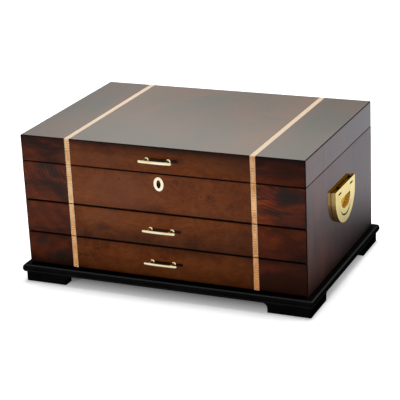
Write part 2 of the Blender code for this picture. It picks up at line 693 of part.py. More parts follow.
def make_lock(panel, lid):
    """A box lock let into the back of the fixed front, and its strike in the lid."""
    rear, face = INNER_FRONT, INNER_FRONT - LOCK_DEPTH
    half = LOCK_WIDTH / 2
    foot = RIM - LOCK_HEIGHT
    lock = box("lock_case", (-half, face, foot), (half, rear, RIM), "gold")
    skin = LOCK_SKIN
    cavity = box("lock_cavity", (skin - half, face + skin, foot + skin), (half - skin, rear - skin, RIM - skin))
    mortise_low = (-half - GAP, face - GAP, foot - GAP)
    cut(panel, box("lock_mortise", mortise_low, (half + GAP, rear + CUT_PAST, RIM + CUT_PAST)))

    cam_face = face + skin + GAP
    cam_back = cam_face + CAM_THICK
    centre = Vector((0, 0, KEYHOLE_Z))
    ring_outer = CAM_RADIUS + GAP + CAM_RING
    ring_start, ring_end = Vector((0, face + skin / 2, 0)), Vector((0, cam_back - GAP, 0))
    ring = cylinder("cam_ring", centre + ring_start, centre + ring_end, ring_outer, 20)
    seat_start, seat_end = Vector((0, face + skin, 0)), Vector((0, cam_back, 0))
    seat = cylinder("cam_seat", centre + seat_start, centre + seat_end, CAM_RADIUS + GAP, 20)
    key_half, key_tall = KEY_SLOT_WIDTH / 2 + GAP, KEY_SLOT_HEIGHT / 2 + GAP
    key_low = (-key_half, face - CUT_PAST, KEYHOLE_Z - key_tall)
    key_way = box("lock_key_way", key_low, (key_half, face + skin + GAP / 2, KEYHOLE_Z + key_tall))

    bolt_face = cam_back + BOLT_LIFT
    bolt_back = bolt_face + BOLT_THICK
    guide_top = KEYHOLE_Z - BOLT_BELOW - GAP
    guide_low = (-GUIDE_HALF, bolt_face, guide_top - GUIDE_HEIGHT)
    guide = box("bolt_guide", guide_low, (GUIDE_HALF, rear - skin / 2, guide_top))

    eye_x = BOLT_HALF + FINGER_LENGTH + EYE_GAP
    finger_low = KEYHOLE_Z + BOLT_ABOVE - FINGER_HEIGHT
    eye_near, eye_far = bolt_face - GAP - EYE_WALL, bolt_back + GAP + EYE_WALL / 2
    way_low = (eye_x - EYE_CLEAR, eye_near - EYE_CLEAR, RIM - skin - CUT_PAST)
    eye_way = box("lock_eye_way", way_low, (eye_x + EYE_THICK + EYE_CLEAR, eye_far + GAP, RIM + CUT_PAST))
    cut(lock, cavity)
    join(lock, ring, guide)
    cut(lock, seat, key_way, eye_way)

    cam_at = Vector((0, cam_face, KEYHOLE_Z))
    cam = cylinder("lock_cam", cam_at, cam_at + Vector((0, CAM_THICK, 0)), CAM_RADIUS, 20, "gold")
    throw = CAM_THROW / math.sqrt(2)
    pin_at = Vector((-throw, cam_back - GAP, KEYHOLE_Z + throw))
    pin_end = pin_at + Vector((0, DRIVE_PIN_LENGTH, 0))
    join(cam, cylinder("drive_pin", pin_at, pin_end, DRIVE_PIN_RADIUS, 12))
    slot = (KEY_SLOT_WIDTH / 2, CUT_PAST, KEY_SLOT_HEIGHT / 2)
    slot_low = (-slot[0], cam_face - slot[1], KEYHOLE_Z - slot[2])
    cut(cam, box("cam_key_slot", slot_low, (slot[0], cam_back + slot[1], KEYHOLE_Z + slot[2])))

    bolt_low = (-BOLT_HALF, bolt_face, KEYHOLE_Z - BOLT_BELOW)
    bolt = box("lock_bolt", bolt_low, (BOLT_HALF, bolt_back, KEYHOLE_Z + BOLT_ABOVE), "gold")
    finger_end = (BOLT_HALF + FINGER_LENGTH, bolt_back, KEYHOLE_Z + BOLT_ABOVE)
    join(bolt, box("bolt_finger", (0, bolt_face, finger_low), finger_end))
    drive_half = DRIVE_PIN_RADIUS + DRIVE_CLEAR
    drive_low = (-throw - drive_half, bolt_face - CUT_PAST, KEYHOLE_Z + throw - drive_half)
    drive_high = (-throw + drive_half, bolt_back + CUT_PAST, KEYHOLE_Z + CAM_THROW + drive_half)
    cut(bolt, box("bolt_drive_slot", drive_low, drive_high))

    strike = box("lock_strike", (-half, face, LID_BOTTOM), (half, rear - GAP, LID_BOTTOM + STRIKE_THICK), "gold")
    eye_foot = finger_low - GAP - EYE_WALL
    eye = box("strike_eye", (eye_x, eye_near, eye_foot), (eye_x + EYE_THICK, eye_far, LID_BOTTOM + STRIKE_THICK / 2))
    hole_low = (eye_x - CUT_PAST, bolt_face - GAP, finger_low - GAP)
    hole_high = (eye_x + EYE_THICK + CUT_PAST, bolt_back + GAP, finger_low + FINGER_HEIGHT + GAP)
    join(strike, eye)
    cut(strike, box("strike_eye_hole", hole_low, hole_high))
    seat_high = (half + GAP, rear + CUT_PAST, LID_BOTTOM + STRIKE_THICK + GAP)
    cut(lid, box("strike_mortise", (-half - GAP, face - GAP, LID_BOTTOM - CUT_PAST), seat_high))
    carry(joint_empty("lock_bolt_slide", (0, bolt_face, KEYHOLE_Z)), bolt)
    carry(joint_empty("lock_cam_turn", (0, cam_face, KEYHOLE_Z)), cam)
    return strike


def make_drawer(label, front_bottom, front_top, floor, ceiling):
    """A box on a mitred front: two sides, back and bottom, with dividers, inlay and a pull."""
    name = f"drawer_{label}"
    front = make_front(f"{name}_front", front_bottom, front_top)
    bands = add_front_inlay(f"{name}_inlay", front, front_bottom, front_top)
    pull = make_pull(f"{name}_pull", (front_bottom + front_top) / 2)
    low, high = floor + GAP, ceiling - DRAWER_TOP_CLEAR
    outer = INNER_HALF - DRAWER_SIDE_CLEAR
    inner = outer - DRAWER_SIDE
    near, far = INNER_FRONT + GAP, INNER_BACK - DRAWER_BACK_CLEAR
    pieces = [front, *bands, pull]
    for side, s in SIDES:
        xs = sorted((s * inner, s * outer))
        pieces.append(box(f"{name}_side_{side}", (xs[0], near, low), (xs[1], far, high), "drawer_wood"))
    inside = inner - GAP
    back_low, back_high = (-inside, far - DRAWER_SIDE, low), (inside, far, high)
    pieces.append(box(f"{name}_back", back_low, back_high, "drawer_wood"))
    stop = far - DRAWER_SIDE - GAP
    bottom_high = (inside, stop, low + DRAWER_BOTTOM)
    pieces.append(box(f"{name}_bottom", (-inside, near, low), bottom_high, "lined_wood"))
    base = low + DRAWER_BOTTOM + GAP
    top = base + (high - base) * DIVIDER_HEIGHT_SHARE
    half = DIVIDER / 2
    y = near + (stop - near) * LONG_SPLIT_SHARES[label]
    lower, upper = (GAP - inside, y - half, base), (inside - GAP, y + half, top)
    dividers = box(f"{name}_dividers", lower, upper, "lined_wood")
    for step, share in enumerate(CROSS_SPLIT_SHARES[label]):
        x = share * 2 * inside
        lower, upper = (x - half, near + GAP, base), (x + half, stop - GAP, top)
        join(dividers, box(f"{name}_cross_{step}", lower, upper))
    pieces.append(dividers)
    carry(joint_empty(f"{name}_slide", (0, INNER_FRONT, low)), *pieces)


def make_compartment():
    """Crossed dividers on the floor under the lid, and ring rolls in the front left bay."""
    base = COMPARTMENT_FLOOR + GAP
    top = base + COMPARTMENT_DIVIDER_HEIGHT
    half = COMPARTMENT_DIVIDER / 2
    inside = INNER_HALF - 2 * GAP
    near, far = INNER_FRONT + 2 * GAP, INNER_BACK - 2 * GAP
    x = COMPARTMENT_SPLIT_SHARE * 2 * inside
    y = (near + far) / 2
    along = box("compartment_dividers", (x - half, near, base), (x + half, far, top), "lined_wood")
    join(along, box("compartment_cross", (-inside, y - half, base), (inside, y + half, top)))
    make_ring_rolls(Vector((GAP - inside, near + GAP, base)), Vector((x - half - GAP, y - half - GAP, top)))


def make_ring_rolls(low, high):
    """Padded rolls sewn side by side over a flat underside, which grip rings between them."""
    radius = (high.y - low.y) / 2 / (ROLL_COUNT - ROLL_OVERLAP_SHARE * (ROLL_COUNT - 1))
    pitch = 2 * radius * (1 - ROLL_OVERLAP_SHARE)
    middle = (low.x + high.x) / 2
    half_run = (high.x - low.x) / 2
    crown = radius * ROLL_CROWN_SHARE
    cap = arc((0, half_run - crown), (radius, crown), 90, 0, 4)
    profile = cap + [(r, -h) for r, h in reversed(cap)]
    z = low.z + radius * ROLL_SEAT_SHARE
    inset = radius * (1 - ROLL_PAD_REACH_SHARE)
    pad_low = (low.x + radius, low.y + inset, low.z)
    pad_high = (high.x - radius, high.y - inset, low.z + radius * ROLL_PAD_HEIGHT_SHARE)
    pad = box("ring_rolls", pad_low, pad_high, "ring_fabric")
    for step in range(ROLL_COUNT):
        place = (middle, low.y + radius + pitch * step, z)
        join(pad, turned(f"ring_roll_{step}", profile, [place], (1, 0, 0), 16))
    below = (low.x - CUT_PAST, low.y - CUT_PAST, low.z - radius)
    cut(pad, box("ring_rolls_underside", below, (high.x + CUT_PAST, high.y + CUT_PAST, low.z)))


def handle_outline(inset):
    """A D: straight top and sides, half-round below; origin at the middle of the top."""
    radius = HANDLE_WIDTH / 2
    centre = radius - HANDLE_HEIGHT
    half = radius - inset
    return [(-half, -inset), (half, -inset), *arc((0, centre), (half, half), 0, -180, 24)]


def finger_hole_outline():
    """Flat top with small corners, over a half ellipse."""
    half = FINGER_HOLE_WIDTH / 2
    top = -FINGER_HOLE_DROP
    corner = FINGER_HOLE_CORNER
    radii = (corner, corner)
    left = arc((corner - half, top - corner), radii, 180, 90, 3)
    right = arc((half - corner, top - corner), radii, 90, 0, 3)
    return left + right + arc((0, top - FINGER_HOLE_STRAIGHT), (half, FINGER_HOLE_ROUND), 0, -180, 16)


def sagging_arc(width, rise, bottom, steps):
    """A circular arc through two level ends that lies lowest in its middle."""
    radius = (width ** 2 / 4 + rise ** 2) / (2 * rise)
    reach = math.degrees(math.asin(width / 2 / radius))
    return arc((0, bottom + radius), (radius, radius), -90 - reach, -90 + reach, steps)


def make_handle(label, s):
    """A folding handle: back plate with two lugs, a pin through them, and a D-shaped bail."""
    at = Vector((0, HANDLE_Y, HANDLE_TOP))
    plate_middle = s * (HALF + GAP + BACK_PLATE / 2)
    name = f"handle_plate_{label}"
    plate_at = at + Vector((plate_middle, 0, 0))
    plate = prism(name, [handle_outline(BACK_PLATE_INSET)], "X", plate_at, BACK_PLATE, "gold")
    ease(plate, BACK_PLATE_INSET, 1)
    axis_x = s * BAIL_AXIS_X
    plate_face = s * (HALF + GAP + BACK_PLATE / 2)
    lug = arc((0, 0), (LUG_RADIUS, LUG_RADIUS), -90, 90, 8)
    lug += [((plate_face - axis_x) * s, LUG_RADIUS), ((plate_face - axis_x) * s, -LUG_RADIUS)]
    lug = [(s * x, z) for x, z in lug]
    pin_half = BAIL_PIN_LENGTH / 2
    axis = Vector((axis_x, HANDLE_Y, BAIL_AXIS_Z))
    bore_ends = [axis + Vector((0, t * (pin_half + GAP), 0)) for t in (-1, 1)]
    bore = cylinder(f"{name}_bore", *bore_ends, BAIL_PIN_RADIUS + PIN_CLEAR, 14)
    for step, t in enumerate((-1, 1)):
        lug_at = axis + Vector((0, t * LUG_CENTRE, 0))
        join(plate, prism(f"{name}_lug_{step}", [lug], "Y", lug_at, LUG_WIDTH))
    cut(plate, bore)

    bail_name = f"handle_bail_{label}"
    bail_middle = s * (BAIL_BACK + BAIL_THICK / 2)
    bail_at = at + Vector((bail_middle, 0, 0))
    bail = prism(bail_name, [handle_outline(0)], "X", bail_at, BAIL_THICK, "gold")
    ease(bail, BAIL_EASE)
    round_back = arc((0, 0), (BAIL_THICK / 2, BAIL_THICK / 2), 180, 90, 6)
    past = BAIL_THICK / 2 + CUT_PAST
    waste = [(-past, 0), *round_back, (0, past), (-past, past)]
    waste = [(s * x, z) for x, z in waste]
    waste_at = Vector((bail_middle, HANDLE_Y, BAIL_AXIS_Z))
    wide = HANDLE_WIDTH + 2 * CUT_PAST
    cut(bail, prism(f"{bail_name}_round", [waste], "Y", waste_at, wide))
    hole = prism(f"{bail_name}_finger_hole", [finger_hole_outline()], "X", bail_at, 2 * BAIL_THICK)
    lower = sagging_arc(CRESCENT_WIDTH, CRESCENT_RISE, -CRESCENT_DROP, 14)
    upper = sagging_arc(CRESCENT_WIDTH, CRESCENT_RISE - CRESCENT_THICK, CRESCENT_THICK - CRESCENT_DROP, 14)
    face_at = at + Vector((s * (BAIL_BACK + BAIL_THICK), 0, 0))
    crescent = lower + list(reversed(upper))[1:-1]
    cut(bail, hole, prism(f"{bail_name}_crescent", [crescent], "X", face_at, 2 * CRESCENT_DEPTH))
    clear = LUG_RADIUS + LUG_CLEAR
    lug_half = LUG_WIDTH / 2 + LUG_CLEAR
    for step, t in enumerate((-1, 1)):
        y = HANDLE_Y + t * LUG_CENTRE
        xs = sorted((s * (BAIL_BACK - CUT_PAST), s * (BAIL_AXIS_X + clear)))
        low, high = (xs[0], y - lug_half, BAIL_AXIS_Z - clear), (xs[1], y + lug_half, HANDLE_TOP + CUT_PAST)
        notch = box(f"{bail_name}_notch_{step}", low, high)
        xs = sorted((s * (BAIL_BACK - CUT_PAST), s * (BAIL_BACK + BAIL_THICK + CUT_PAST)))
        slot_top = HANDLE_TOP - SLOT_DROP + SLOT_HEIGHT / 2
        low, high = (xs[0], y - lug_half, slot_top - SLOT_HEIGHT), (xs[1], y + lug_half, slot_top)
        cut(bail, notch, box(f"{bail_name}_slot_{step}", low, high))
    bail_bore = cylinder(f"{bail_name}_bore", *bore_ends, BAIL_PIN_RADIUS + PIN_CLEAR, 14)
    cut(bail, bail_bore)
    carry(joint_empty(f"bail_{label}_turn", axis), bail)

    ends = [axis + Vector((0, t * pin_half, 0)) for t in (-1, 1)]
    cylinder(f"handle_pin_{label}", *ends, BAIL_PIN_RADIUS, 12, "gold")

    places = []
    for out, drop in ((UPPER_SCREW_OUT, UPPER_SCREW_DROP), (LOWER_SCREW_OUT, LOWER_SCREW_DROP)):
        for t in (-1, 1):
            places.append((s * (HALF + GAP + BACK_PLATE), HANDLE_Y + t * out, HANDLE_TOP - drop))
    hole = countersunk_hole(HANDLE_SCREW_HEAD, HANDLE_SCREW_HEAD_DEPTH, HANDLE_SCREW_SHANK, BACK_PLATE)
    cut(plate, turned(f"handle_screw_holes_{label}", hole, places, (s, 0, 0), 10))


def main():
    back, panel = make_case()
    add_front_inlay("front_panel_inlay", panel, PANEL_BOTTOM, RIM)
    make_base()
    make_feet()

    lid = make_lid()
    lid_pieces = [lid, *add_lid_inlay(lid), *make_mirror(), make_pull("lid_pull", (LID_BOTTOM + LID_TOP) / 2)]

    case_leaves, lid_leaves = [], []
    for label, s in SIDES:
        case_leaf, lid_leaf = make_hinge(label, s, lid, back)
        case_leaves.append(case_leaf)
        lid_leaves.append(lid_leaf)
    cut_screw_holes("hinge_screw_holes_case", case_leaves, RIM, (0, 0, 1))
    cut_screw_holes("hinge_screw_holes_lid", lid_leaves, LID_BOTTOM, (0, 0, -1))
    make_hinge_pins()

    make_keyhole_plate(panel)
    strike = make_lock(panel, lid)
    lid_pieces += [*lid_leaves, strike]
    carry(joint_empty("lid_hinge", (0, HINGE_AXIS_Y, HINGE_AXIS_Z)), *lid_pieces)

    make_drawer("upper", UPPER_BOTTOM, UPPER_TOP, DRAWER_SHELF + SHELF, COMPARTMENT_FLOOR - SHELF)
    make_drawer("lower", LOWER_BOTTOM, LOWER_TOP, CASE_BOTTOM + SHELF, DRAWER_SHELF)
    make_compartment()
    for label, s in SIDES:
        make_handle(label, s)
    bpy.context.view_layer.update()


clear_scene()
PARTS = new_collection("jewelry_chest")
CUTTERS = new_collection("cutters")
main()
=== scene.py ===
"""Looks of a jewelry chest: burl veneer, chequered inlay, gilt fittings and suede linings."""

import json
import math

import bmesh
import bpy
from mathutils import Matrix, Vector

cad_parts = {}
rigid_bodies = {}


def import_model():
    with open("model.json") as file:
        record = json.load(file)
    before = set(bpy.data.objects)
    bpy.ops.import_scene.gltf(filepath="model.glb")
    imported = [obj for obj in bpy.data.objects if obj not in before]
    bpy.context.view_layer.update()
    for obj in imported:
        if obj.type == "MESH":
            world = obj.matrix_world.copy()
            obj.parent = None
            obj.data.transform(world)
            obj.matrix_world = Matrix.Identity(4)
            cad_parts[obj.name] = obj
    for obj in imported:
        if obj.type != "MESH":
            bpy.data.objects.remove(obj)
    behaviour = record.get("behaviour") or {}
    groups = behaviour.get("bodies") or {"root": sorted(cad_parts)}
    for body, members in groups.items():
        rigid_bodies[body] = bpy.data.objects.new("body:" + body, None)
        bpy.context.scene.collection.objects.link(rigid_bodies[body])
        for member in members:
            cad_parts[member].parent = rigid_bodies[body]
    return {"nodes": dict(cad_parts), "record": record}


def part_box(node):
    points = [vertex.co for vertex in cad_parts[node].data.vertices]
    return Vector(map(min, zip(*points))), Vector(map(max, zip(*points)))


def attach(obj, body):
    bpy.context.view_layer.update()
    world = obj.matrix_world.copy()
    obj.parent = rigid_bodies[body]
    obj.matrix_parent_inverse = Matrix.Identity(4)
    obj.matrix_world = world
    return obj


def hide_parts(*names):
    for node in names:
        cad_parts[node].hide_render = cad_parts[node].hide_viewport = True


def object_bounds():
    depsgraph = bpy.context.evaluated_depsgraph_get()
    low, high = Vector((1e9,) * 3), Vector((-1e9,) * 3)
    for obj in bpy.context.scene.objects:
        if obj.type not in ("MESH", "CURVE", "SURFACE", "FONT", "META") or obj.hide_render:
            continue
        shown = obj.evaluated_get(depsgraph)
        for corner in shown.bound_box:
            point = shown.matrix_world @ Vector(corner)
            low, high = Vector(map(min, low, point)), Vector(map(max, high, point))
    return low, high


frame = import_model()
CAD_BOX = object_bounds()
NODES = frame["nodes"]

MM = 0.001

# Camera, as the photograph was taken
CAMERA_PLACE = (0.75071, -1.66294, 0.75039)
CAMERA_TURNS = (24.378, 69.984, -2.739)
CAMERA_LENS = 133.57
SENSOR = 36.0

# Places read from the frame
LID_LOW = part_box("lid_box")[0]
FRONT = LID_LOW.y
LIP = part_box("case_side_right")[1].z
BAND_LOW, BAND_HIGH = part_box("front_panel_inlay_right")
BAND_CENTRE = (BAND_LOW.x + BAND_HIGH.x) / 2
BAND_HALF = (BAND_HIGH.x - BAND_LOW.x) / 2
BAIL_LOW, BAIL_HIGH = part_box("handle_bail_right")
BAIL_MIDDLE = (BAIL_LOW.y + BAIL_HIGH.y) / 2
BAIL_RADIUS = (BAIL_HIGH.y - BAIL_LOW.y) / 2
INNER_HALF = -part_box("case_side_left")[1].x
INNER_FRONT, INNER_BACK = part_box("case_front_panel")[1].y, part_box("case_back")[0].y
FLOOR_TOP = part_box("compartment_floor")[1].z
DIVIDER_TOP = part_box("compartment_dividers")[1].z
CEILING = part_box("mirror_frame")[1].z + 0.3 * MM

# Figure of the veneer, from dark to light
CHESTNUT = ((0.046, 0.010, 0.0024), (0.088, 0.0212, 0.0040), (0.124, 0.034, 0.0075))
OUTER = ((0.0088, 0.0028, 0.0014), (0.0295, 0.0059, 0.0016), (0.0635, 0.0111, 0.0023))
FINE_LINES, BROAD_LINES = 0.0032, 0.0135
KNOT = (0.010, 0.004, 0.003)
JOINT_STAIN = (0.006, 0.003, 0.002)
# Painted shade along the edges and seams of the fronts and the lid
EDGE_PAINTED_SHADE = (0.002, 0.001, 0.001)
GREY_BLOTCH = (0.010, 0.0085, 0.0075)
RED_BLOTCH = (0.085, 0.013, 0.0055)
DARK_BLOTCH = (0.030, 0.010, 0.006)
RUST_BLOTCH = (0.028, 0.0062, 0.0026)
# Painted sheen: a pale, hazy patch left of the middle of the lid, the panel and the upper drawer
PALE_PAINTED_SHEEN = (0.160, 0.055, 0.024)

# Sides: the streaks at their front and further back, and the patch round the handle
STREAK = ((0.165, 0.040, 0.017), (0.070, 0.028, 0.022))
RED_PATCH = (0.130, 0.030, 0.016)
SIDE_COAT_ROUGHNESS = 0.3

# Top: cool and warm colour of its centre, right and left fields
TOP_TONES = (
    ((0.043, 0.036, 0.026), (0.100, 0.036, 0.018)),
    ((0.012, 0.011, 0.007), (0.050, 0.013, 0.006)),
    ((0.010, 0.013, 0.010), (0.072, 0.012, 0.006)),
)

# Inlay bands
CHEQUER_PITCH = 3.1 * MM
CHEQUERS = ((0.60, 0.25, 0.085), (0.81, 0.50, 0.245))
BAND_EDGE = ((0.38, 0.285, 0.165), (0.64, 0.495, 0.335))
BAND_RIM = (0.25, 0.09, 0.03)
# Painted sheen of the bands on the top, at the left and at the right
BAND_TOP_PAINTED_SHEEN = ((0.645, 0.505, 0.365), (0.635, 0.480, 0.325))
PALE_SPOT_Z = 0.136

# Base
EBONY = ((0.0016, 0.0016, 0.0017), (0.0035, 0.0035, 0.0038))
# Painted highlights: on the moulding's shoulder, and along its lower part at the front and sides
EBONY_SHOULDER_PAINTED_HIGHLIGHT = (0.008, 0.0083, 0.0095)
EBONY_LOW_PAINTED_HIGHLIGHT = ((0.008, 0.0085, 0.0090), (0.018, 0.0185, 0.022))

# Handles: the finger hole lies this far below the top edge of a bail
HOLE_DOWN, HOLE_WIDE, HOLE_TALL = 23 * MM, 19.5 * MM, 10.5 * MM
SLOT_DEEP = 0.35 * MM
LUG_INNER, LUG_FOOT = 34 * MM, 5 * MM
# Painted shade on a handle's top faces along its rim
HANDLE_TOP_PAINTED_SHADE = (0.36, 0.19, 0.03)
FINGER_GOLD = (1.0, 0.62, 0.14)
# Painted shade in the gaps, slots and notches of a handle
GAP_PAINTED_SHADE = (0.020, 0.011, 0.004)
WARM_GLINT = (1.0, 0.66, 0.2)

# Linings, with the strip of wall left bare along each rim, and ring rolls
LINING_THICK, LINING_ROUND, LINING_GAP = 1.2 * MM, 0.3 * MM, 0.05 * MM
NOTCH_HALF, NOTCH_RISE = 2.4 * MM, 0.3 * MM
COMPARTMENT_BARE, DRAWER_BARE, LID_BARE = 3.5 * MM, 0.8 * MM, 2.5 * MM
# Where dividers meet the front and back walls, and the side walls
DIVIDERS = {
    "compartment": ((-64.26 * MM,), (1.55 * MM,)),
    "drawer_upper": ((-57.66 * MM, 57.66 * MM), (-5.45 * MM,)),
    "drawer_lower": ((0.0,), (-22.72 * MM,)),
}
ROLL_COUNT = 6
ROLL_PUFF = 1.2 * MM
ROLL_VOXEL = 2.2 * MM
ROLL_PRESSURE, ROLL_FRAMES = 4, 20
ROLL_SEAM_DEPTH, ROLL_SEAM_WIDTH = 3.5 * MM, 1.6 * MM

# Pulls, with the (radius, height) profile of a post's foot in mm
PULLS = {f"{body}_pull": body for body in ("lid", "drawer_upper", "drawer_lower")}
PULL_DEEP, PULL_BOW, PULL_END = 1.5 * MM, 1.0 * MM, 0.07
PULL_POST_X = 14.7 * MM
PULL_SIDES = 20
POST_FOOT = ((0, 0.05), (3.0, 0.05), (3.15, 0.5), (2.9, 1.0))
POST_FOOT += ((2.3, 1.4), (1.9, 2.0), (1.75, 3.2), (1.75, 6.5))

# Screws. Those of a handle are (distance from its middle, height)
HINGE_X, HINGE_SCREW_X, HINGE_SCREW_Y = 120 * MM, 12 * MM, 124.05 * MM
HANDLE_SCREW_X, HANDLE_Y = 195.1 * MM, -13.7 * MM
HANDLE_SCREWS = ((29 * MM, 121.1 * MM), (15 * MM, 93.6 * MM))
LOCK_SCREW_X = 13.5 * MM

# What lacquer and metal mirror behind and before the chest, by the sine of the height angle
MIRRORED_TINT = (1.0, 1.0, 0.92)
BACK_LIGHT = ((-0.05, 0.05, 0.9), (0.255, 0.318, 1.0), (0.38, 0.70, -1.45), (0.8, 1.0, 0.2))
FRONT_LIGHT = ((-0.05, 0.10, 0.75), (0.20, 0.45, 0.35), (0.55, 0.8, -0.25), (0.8, 1.0, 0.1))
# How strong the light behind is from left to right, and at its low right
BACK_SIDES = ((-0.52, -0.42, 0.72, 1.0), (-0.38, -0.28, 1.06, 0.93))
BACK_LOW_RIGHT = 0.73
SEEN_WHITE = 1.05
# What lights the matt surfaces all round, from the front and from behind
MATT_LIGHT = (0.05, 0.45)
FLOOR_WHITE = (0.93, 0.93, 0.93, 1)
# Distances over which the floor seen in reflections brightens from dark to white: a painted
# reflection
FLOOR_SHADE = (0.0, 0.17)
# Glow of the floor, as (from, to, amount) steps by distance from the chest: it fades into a painted
# shadow
FLOOR_GLOW = ((-0.042, -0.015, 0.20), (-0.024, 0.020, 0.50))
FLOOR_MIRRORED = 1.15
FLOOR_MIRRORED_TINT = (0.97, 0.98, 1.05, 1)
# Place, aim, size and watts
SOFTBOXES = {
    "key_light": ((-0.80, -1.85, 0.11), (0, 0, 0.1), (0.36, 0.16), 34),
    "top_light": ((0.05, 0.35, 1.8), (0, 0, 0.0), (1.6, 1.2), 31),
}


class Nodes:
    """Short calls that make the nodes of a tree."""

    def __init__(self, tree):
        self.tree = tree

    def node(self, kind, inputs=None, **settings):
        made = self.tree.nodes.new("ShaderNode" + kind)
        for name, value in settings.items():
            setattr(made, name, value)
        for name, value in (inputs or {}).items():
            self.put(made.inputs[name], value)
        return made

    def put(self, socket, value):
        if isinstance(value, bpy.types.NodeSocket):
            self.tree.links.new(value, socket)
        else:
            socket.default_value = value

    def math(self, operation, *values, clamp=False):
        made = self.node("Math", operation=operation, use_clamp=clamp)
        for socket, value in zip(made.inputs, values):
            self.put(socket, value)
        return made.outputs[0]

    def plus(self, first, second, clamp=False):
        return self.math("ADD", first, second, clamp=clamp)

    def minus(self, first, second):
        return self.math("SUBTRACT", first, second)

    def times(self, first, second):
        return self.math("MULTIPLY", first, second)

    def absolute(self, value):
        return self.math("ABSOLUTE", value)

    def above(self, value, limit):
        return self.math("GREATER_THAN", value, limit)

    def wave(self, value, pitch):
        return self.math("SINE", self.times(value, 2 * math.pi / pitch))

    def vector(self, operation, *values):
        made = self.node("VectorMath", operation=operation)
        for socket, value in zip(made.inputs, values):
            self.put(socket, value)
        return made.outputs["Value" if operation == "LENGTH" else "Vector"]

    def stretched(self, vector, factors):
        return self.vector("MULTIPLY", vector, factors)

    def scaled(self, vector, factor):
        made = self.node("VectorMath", {0: vector, "Scale": factor}, operation="SCALE")
        return made.outputs["Vector"]

    def point(self, x, y, z):
        return self.node("CombineXYZ", {0: x, 1: y, 2: z}).outputs[0]

    def axes(self, vector):
        return self.node("SeparateXYZ", {0: vector}).outputs

    def noise(self, vector, scale, detail=2.0, roughness=0.5, distortion=0.0, colour=False):
        made = self.node("TexNoise", {"Vector": vector, "Scale": scale, "Detail": detail})
        self.put(made.inputs["Roughness"], roughness)
        self.put(made.inputs["Distortion"], distortion)
        return made.outputs["Color" if colour else "Fac"]

    def cells(self, vector, scale):
        """Distance to the middle of the nearest of many small cells."""
        made = self.node("TexVoronoi", {"Vector": vector, "Scale": scale, "Randomness": 1.0})
        return made.outputs["Distance"]

    def ramp(self, value, *stops):
        """Colours or numbers by value, from (value, colour or number) stops."""
        made = self.node("ValToRGB", {"Fac": value})
        elements = made.color_ramp.elements
        while len(elements) < len(stops):
            elements.new(0.5)
        for element, (position, colour) in zip(elements, stops):
            element.position = position
            element.color = (*colour, 1) if hasattr(colour, "__len__") else (*[colour] * 3, 1)
        return made.outputs["Color"]

    def mix(self, share, first, second):
        made = self.node("Mix", data_type="RGBA")
        for number, value in ((0, share), (6, first), (7, second)):
            if hasattr(value, "__len__") and len(value) == 3:
                value = (*value, 1)
            self.put(made.inputs[number], value)
        return made.outputs[2]

    def number(self, share, first, second):
        return self.node("Mix", {0: share, 2: first, 3: second}, data_type="FLOAT").outputs[0]

    def between(self, value, low, high, to_low=0.0, to_high=1.0):
        """A smooth change from to_low to to_high, as the value goes from low to high."""
        made = self.node("MapRange", {"Value": value}, interpolation_type="SMOOTHSTEP")
        ends = {"From Min": low, "From Max": high, "To Min": to_low, "To Max": to_high}
        for name, number in ends.items():
            self.put(made.inputs[name], number)
        return made.outputs["Result"]

    def steps(self, value, changes):
        """Sum of smooth changes, each (from, to, amount)."""
        total = 0.0
        for low, high, amount in changes:
            total = self.plus(self.between(value, low, high, 0.0, amount), total)
        return total


class Shader(Nodes):
    """The node tree of one material."""

    def __init__(self, name):
        self.material = bpy.data.materials.new(name)
        self.material.use_nodes = True
        super().__init__(self.material.node_tree)
        self.surface = self.tree.nodes["Principled BSDF"]
        self.place = self.node("TexCoord").outputs["Object"]

    def axes(self, vector=None):
        return super().axes(vector or self.place)

    def normal(self):
        """Direction that the surface faces."""
        return self.axes(self.node("TexCoord").outputs["Normal"])

    def set(self, **values):
        """Sockets of the surface, by name with underscores for spaces."""
        for name, value in values.items():
            self.put(self.surface.inputs[name.replace("_", " ")], value)

    def bump(self, height, strength, distance, socket="Normal"):
        made = self.node("Bump", {"Height": height, "Strength": strength, "Distance": distance})
        self.put(self.surface.inputs[socket], made.outputs["Normal"])


# Finishes


def edge_lines(s, low, high, reach):
    """1 along the edges of a box between two corners, falling to 0 inside."""
    near = []
    for axis, a, b in zip(s.axes(), low, high):
        inside = s.math("MINIMUM", s.minus(axis, a), s.minus(b, axis))
        near.append(s.between(inside, 0.35 * reach, reach, 1.0, 0.0))
    pairs = [s.times(near[i], near[(i + 1) % 3]) for i in range(3)]
    return s.plus(s.plus(pairs[0], pairs[1]), pairs[2], clamp=True)


def centre_field(s, seeded):
    """Mottled chestnut between the inlay bands, with dark blotches and pin knots."""
    cloud = s.noise(seeded, 13, 3, 0.6, 0.6)
    curl = s.noise(s.stretched(seeded, (1.0, 1.0, 1.5)), 48, 5, 0.6, 1.4)
    tone = s.plus(s.times(cloud, 0.62), s.times(curl, 0.38))
    colour = s.ramp(tone, (0.34, CHESTNUT[0]), (0.49, CHESTNUT[1]), (0.66, CHESTNUT[2]))
    blotch = s.between(s.noise(seeded, 7, 2, 0.5, 0.3), 0.56, 0.72)
    colour = s.mix(s.times(blotch, 0.3), colour, CHESTNUT[0])
    pins = s.between(s.cells(seeded, 140), 0.10, 0.26, 1.0, 0.0)
    pins = s.times(pins, s.between(s.noise(seeded, 16), 0.60, 0.70))
    return s.mix(s.times(pins, 0.45), colour, KNOT)


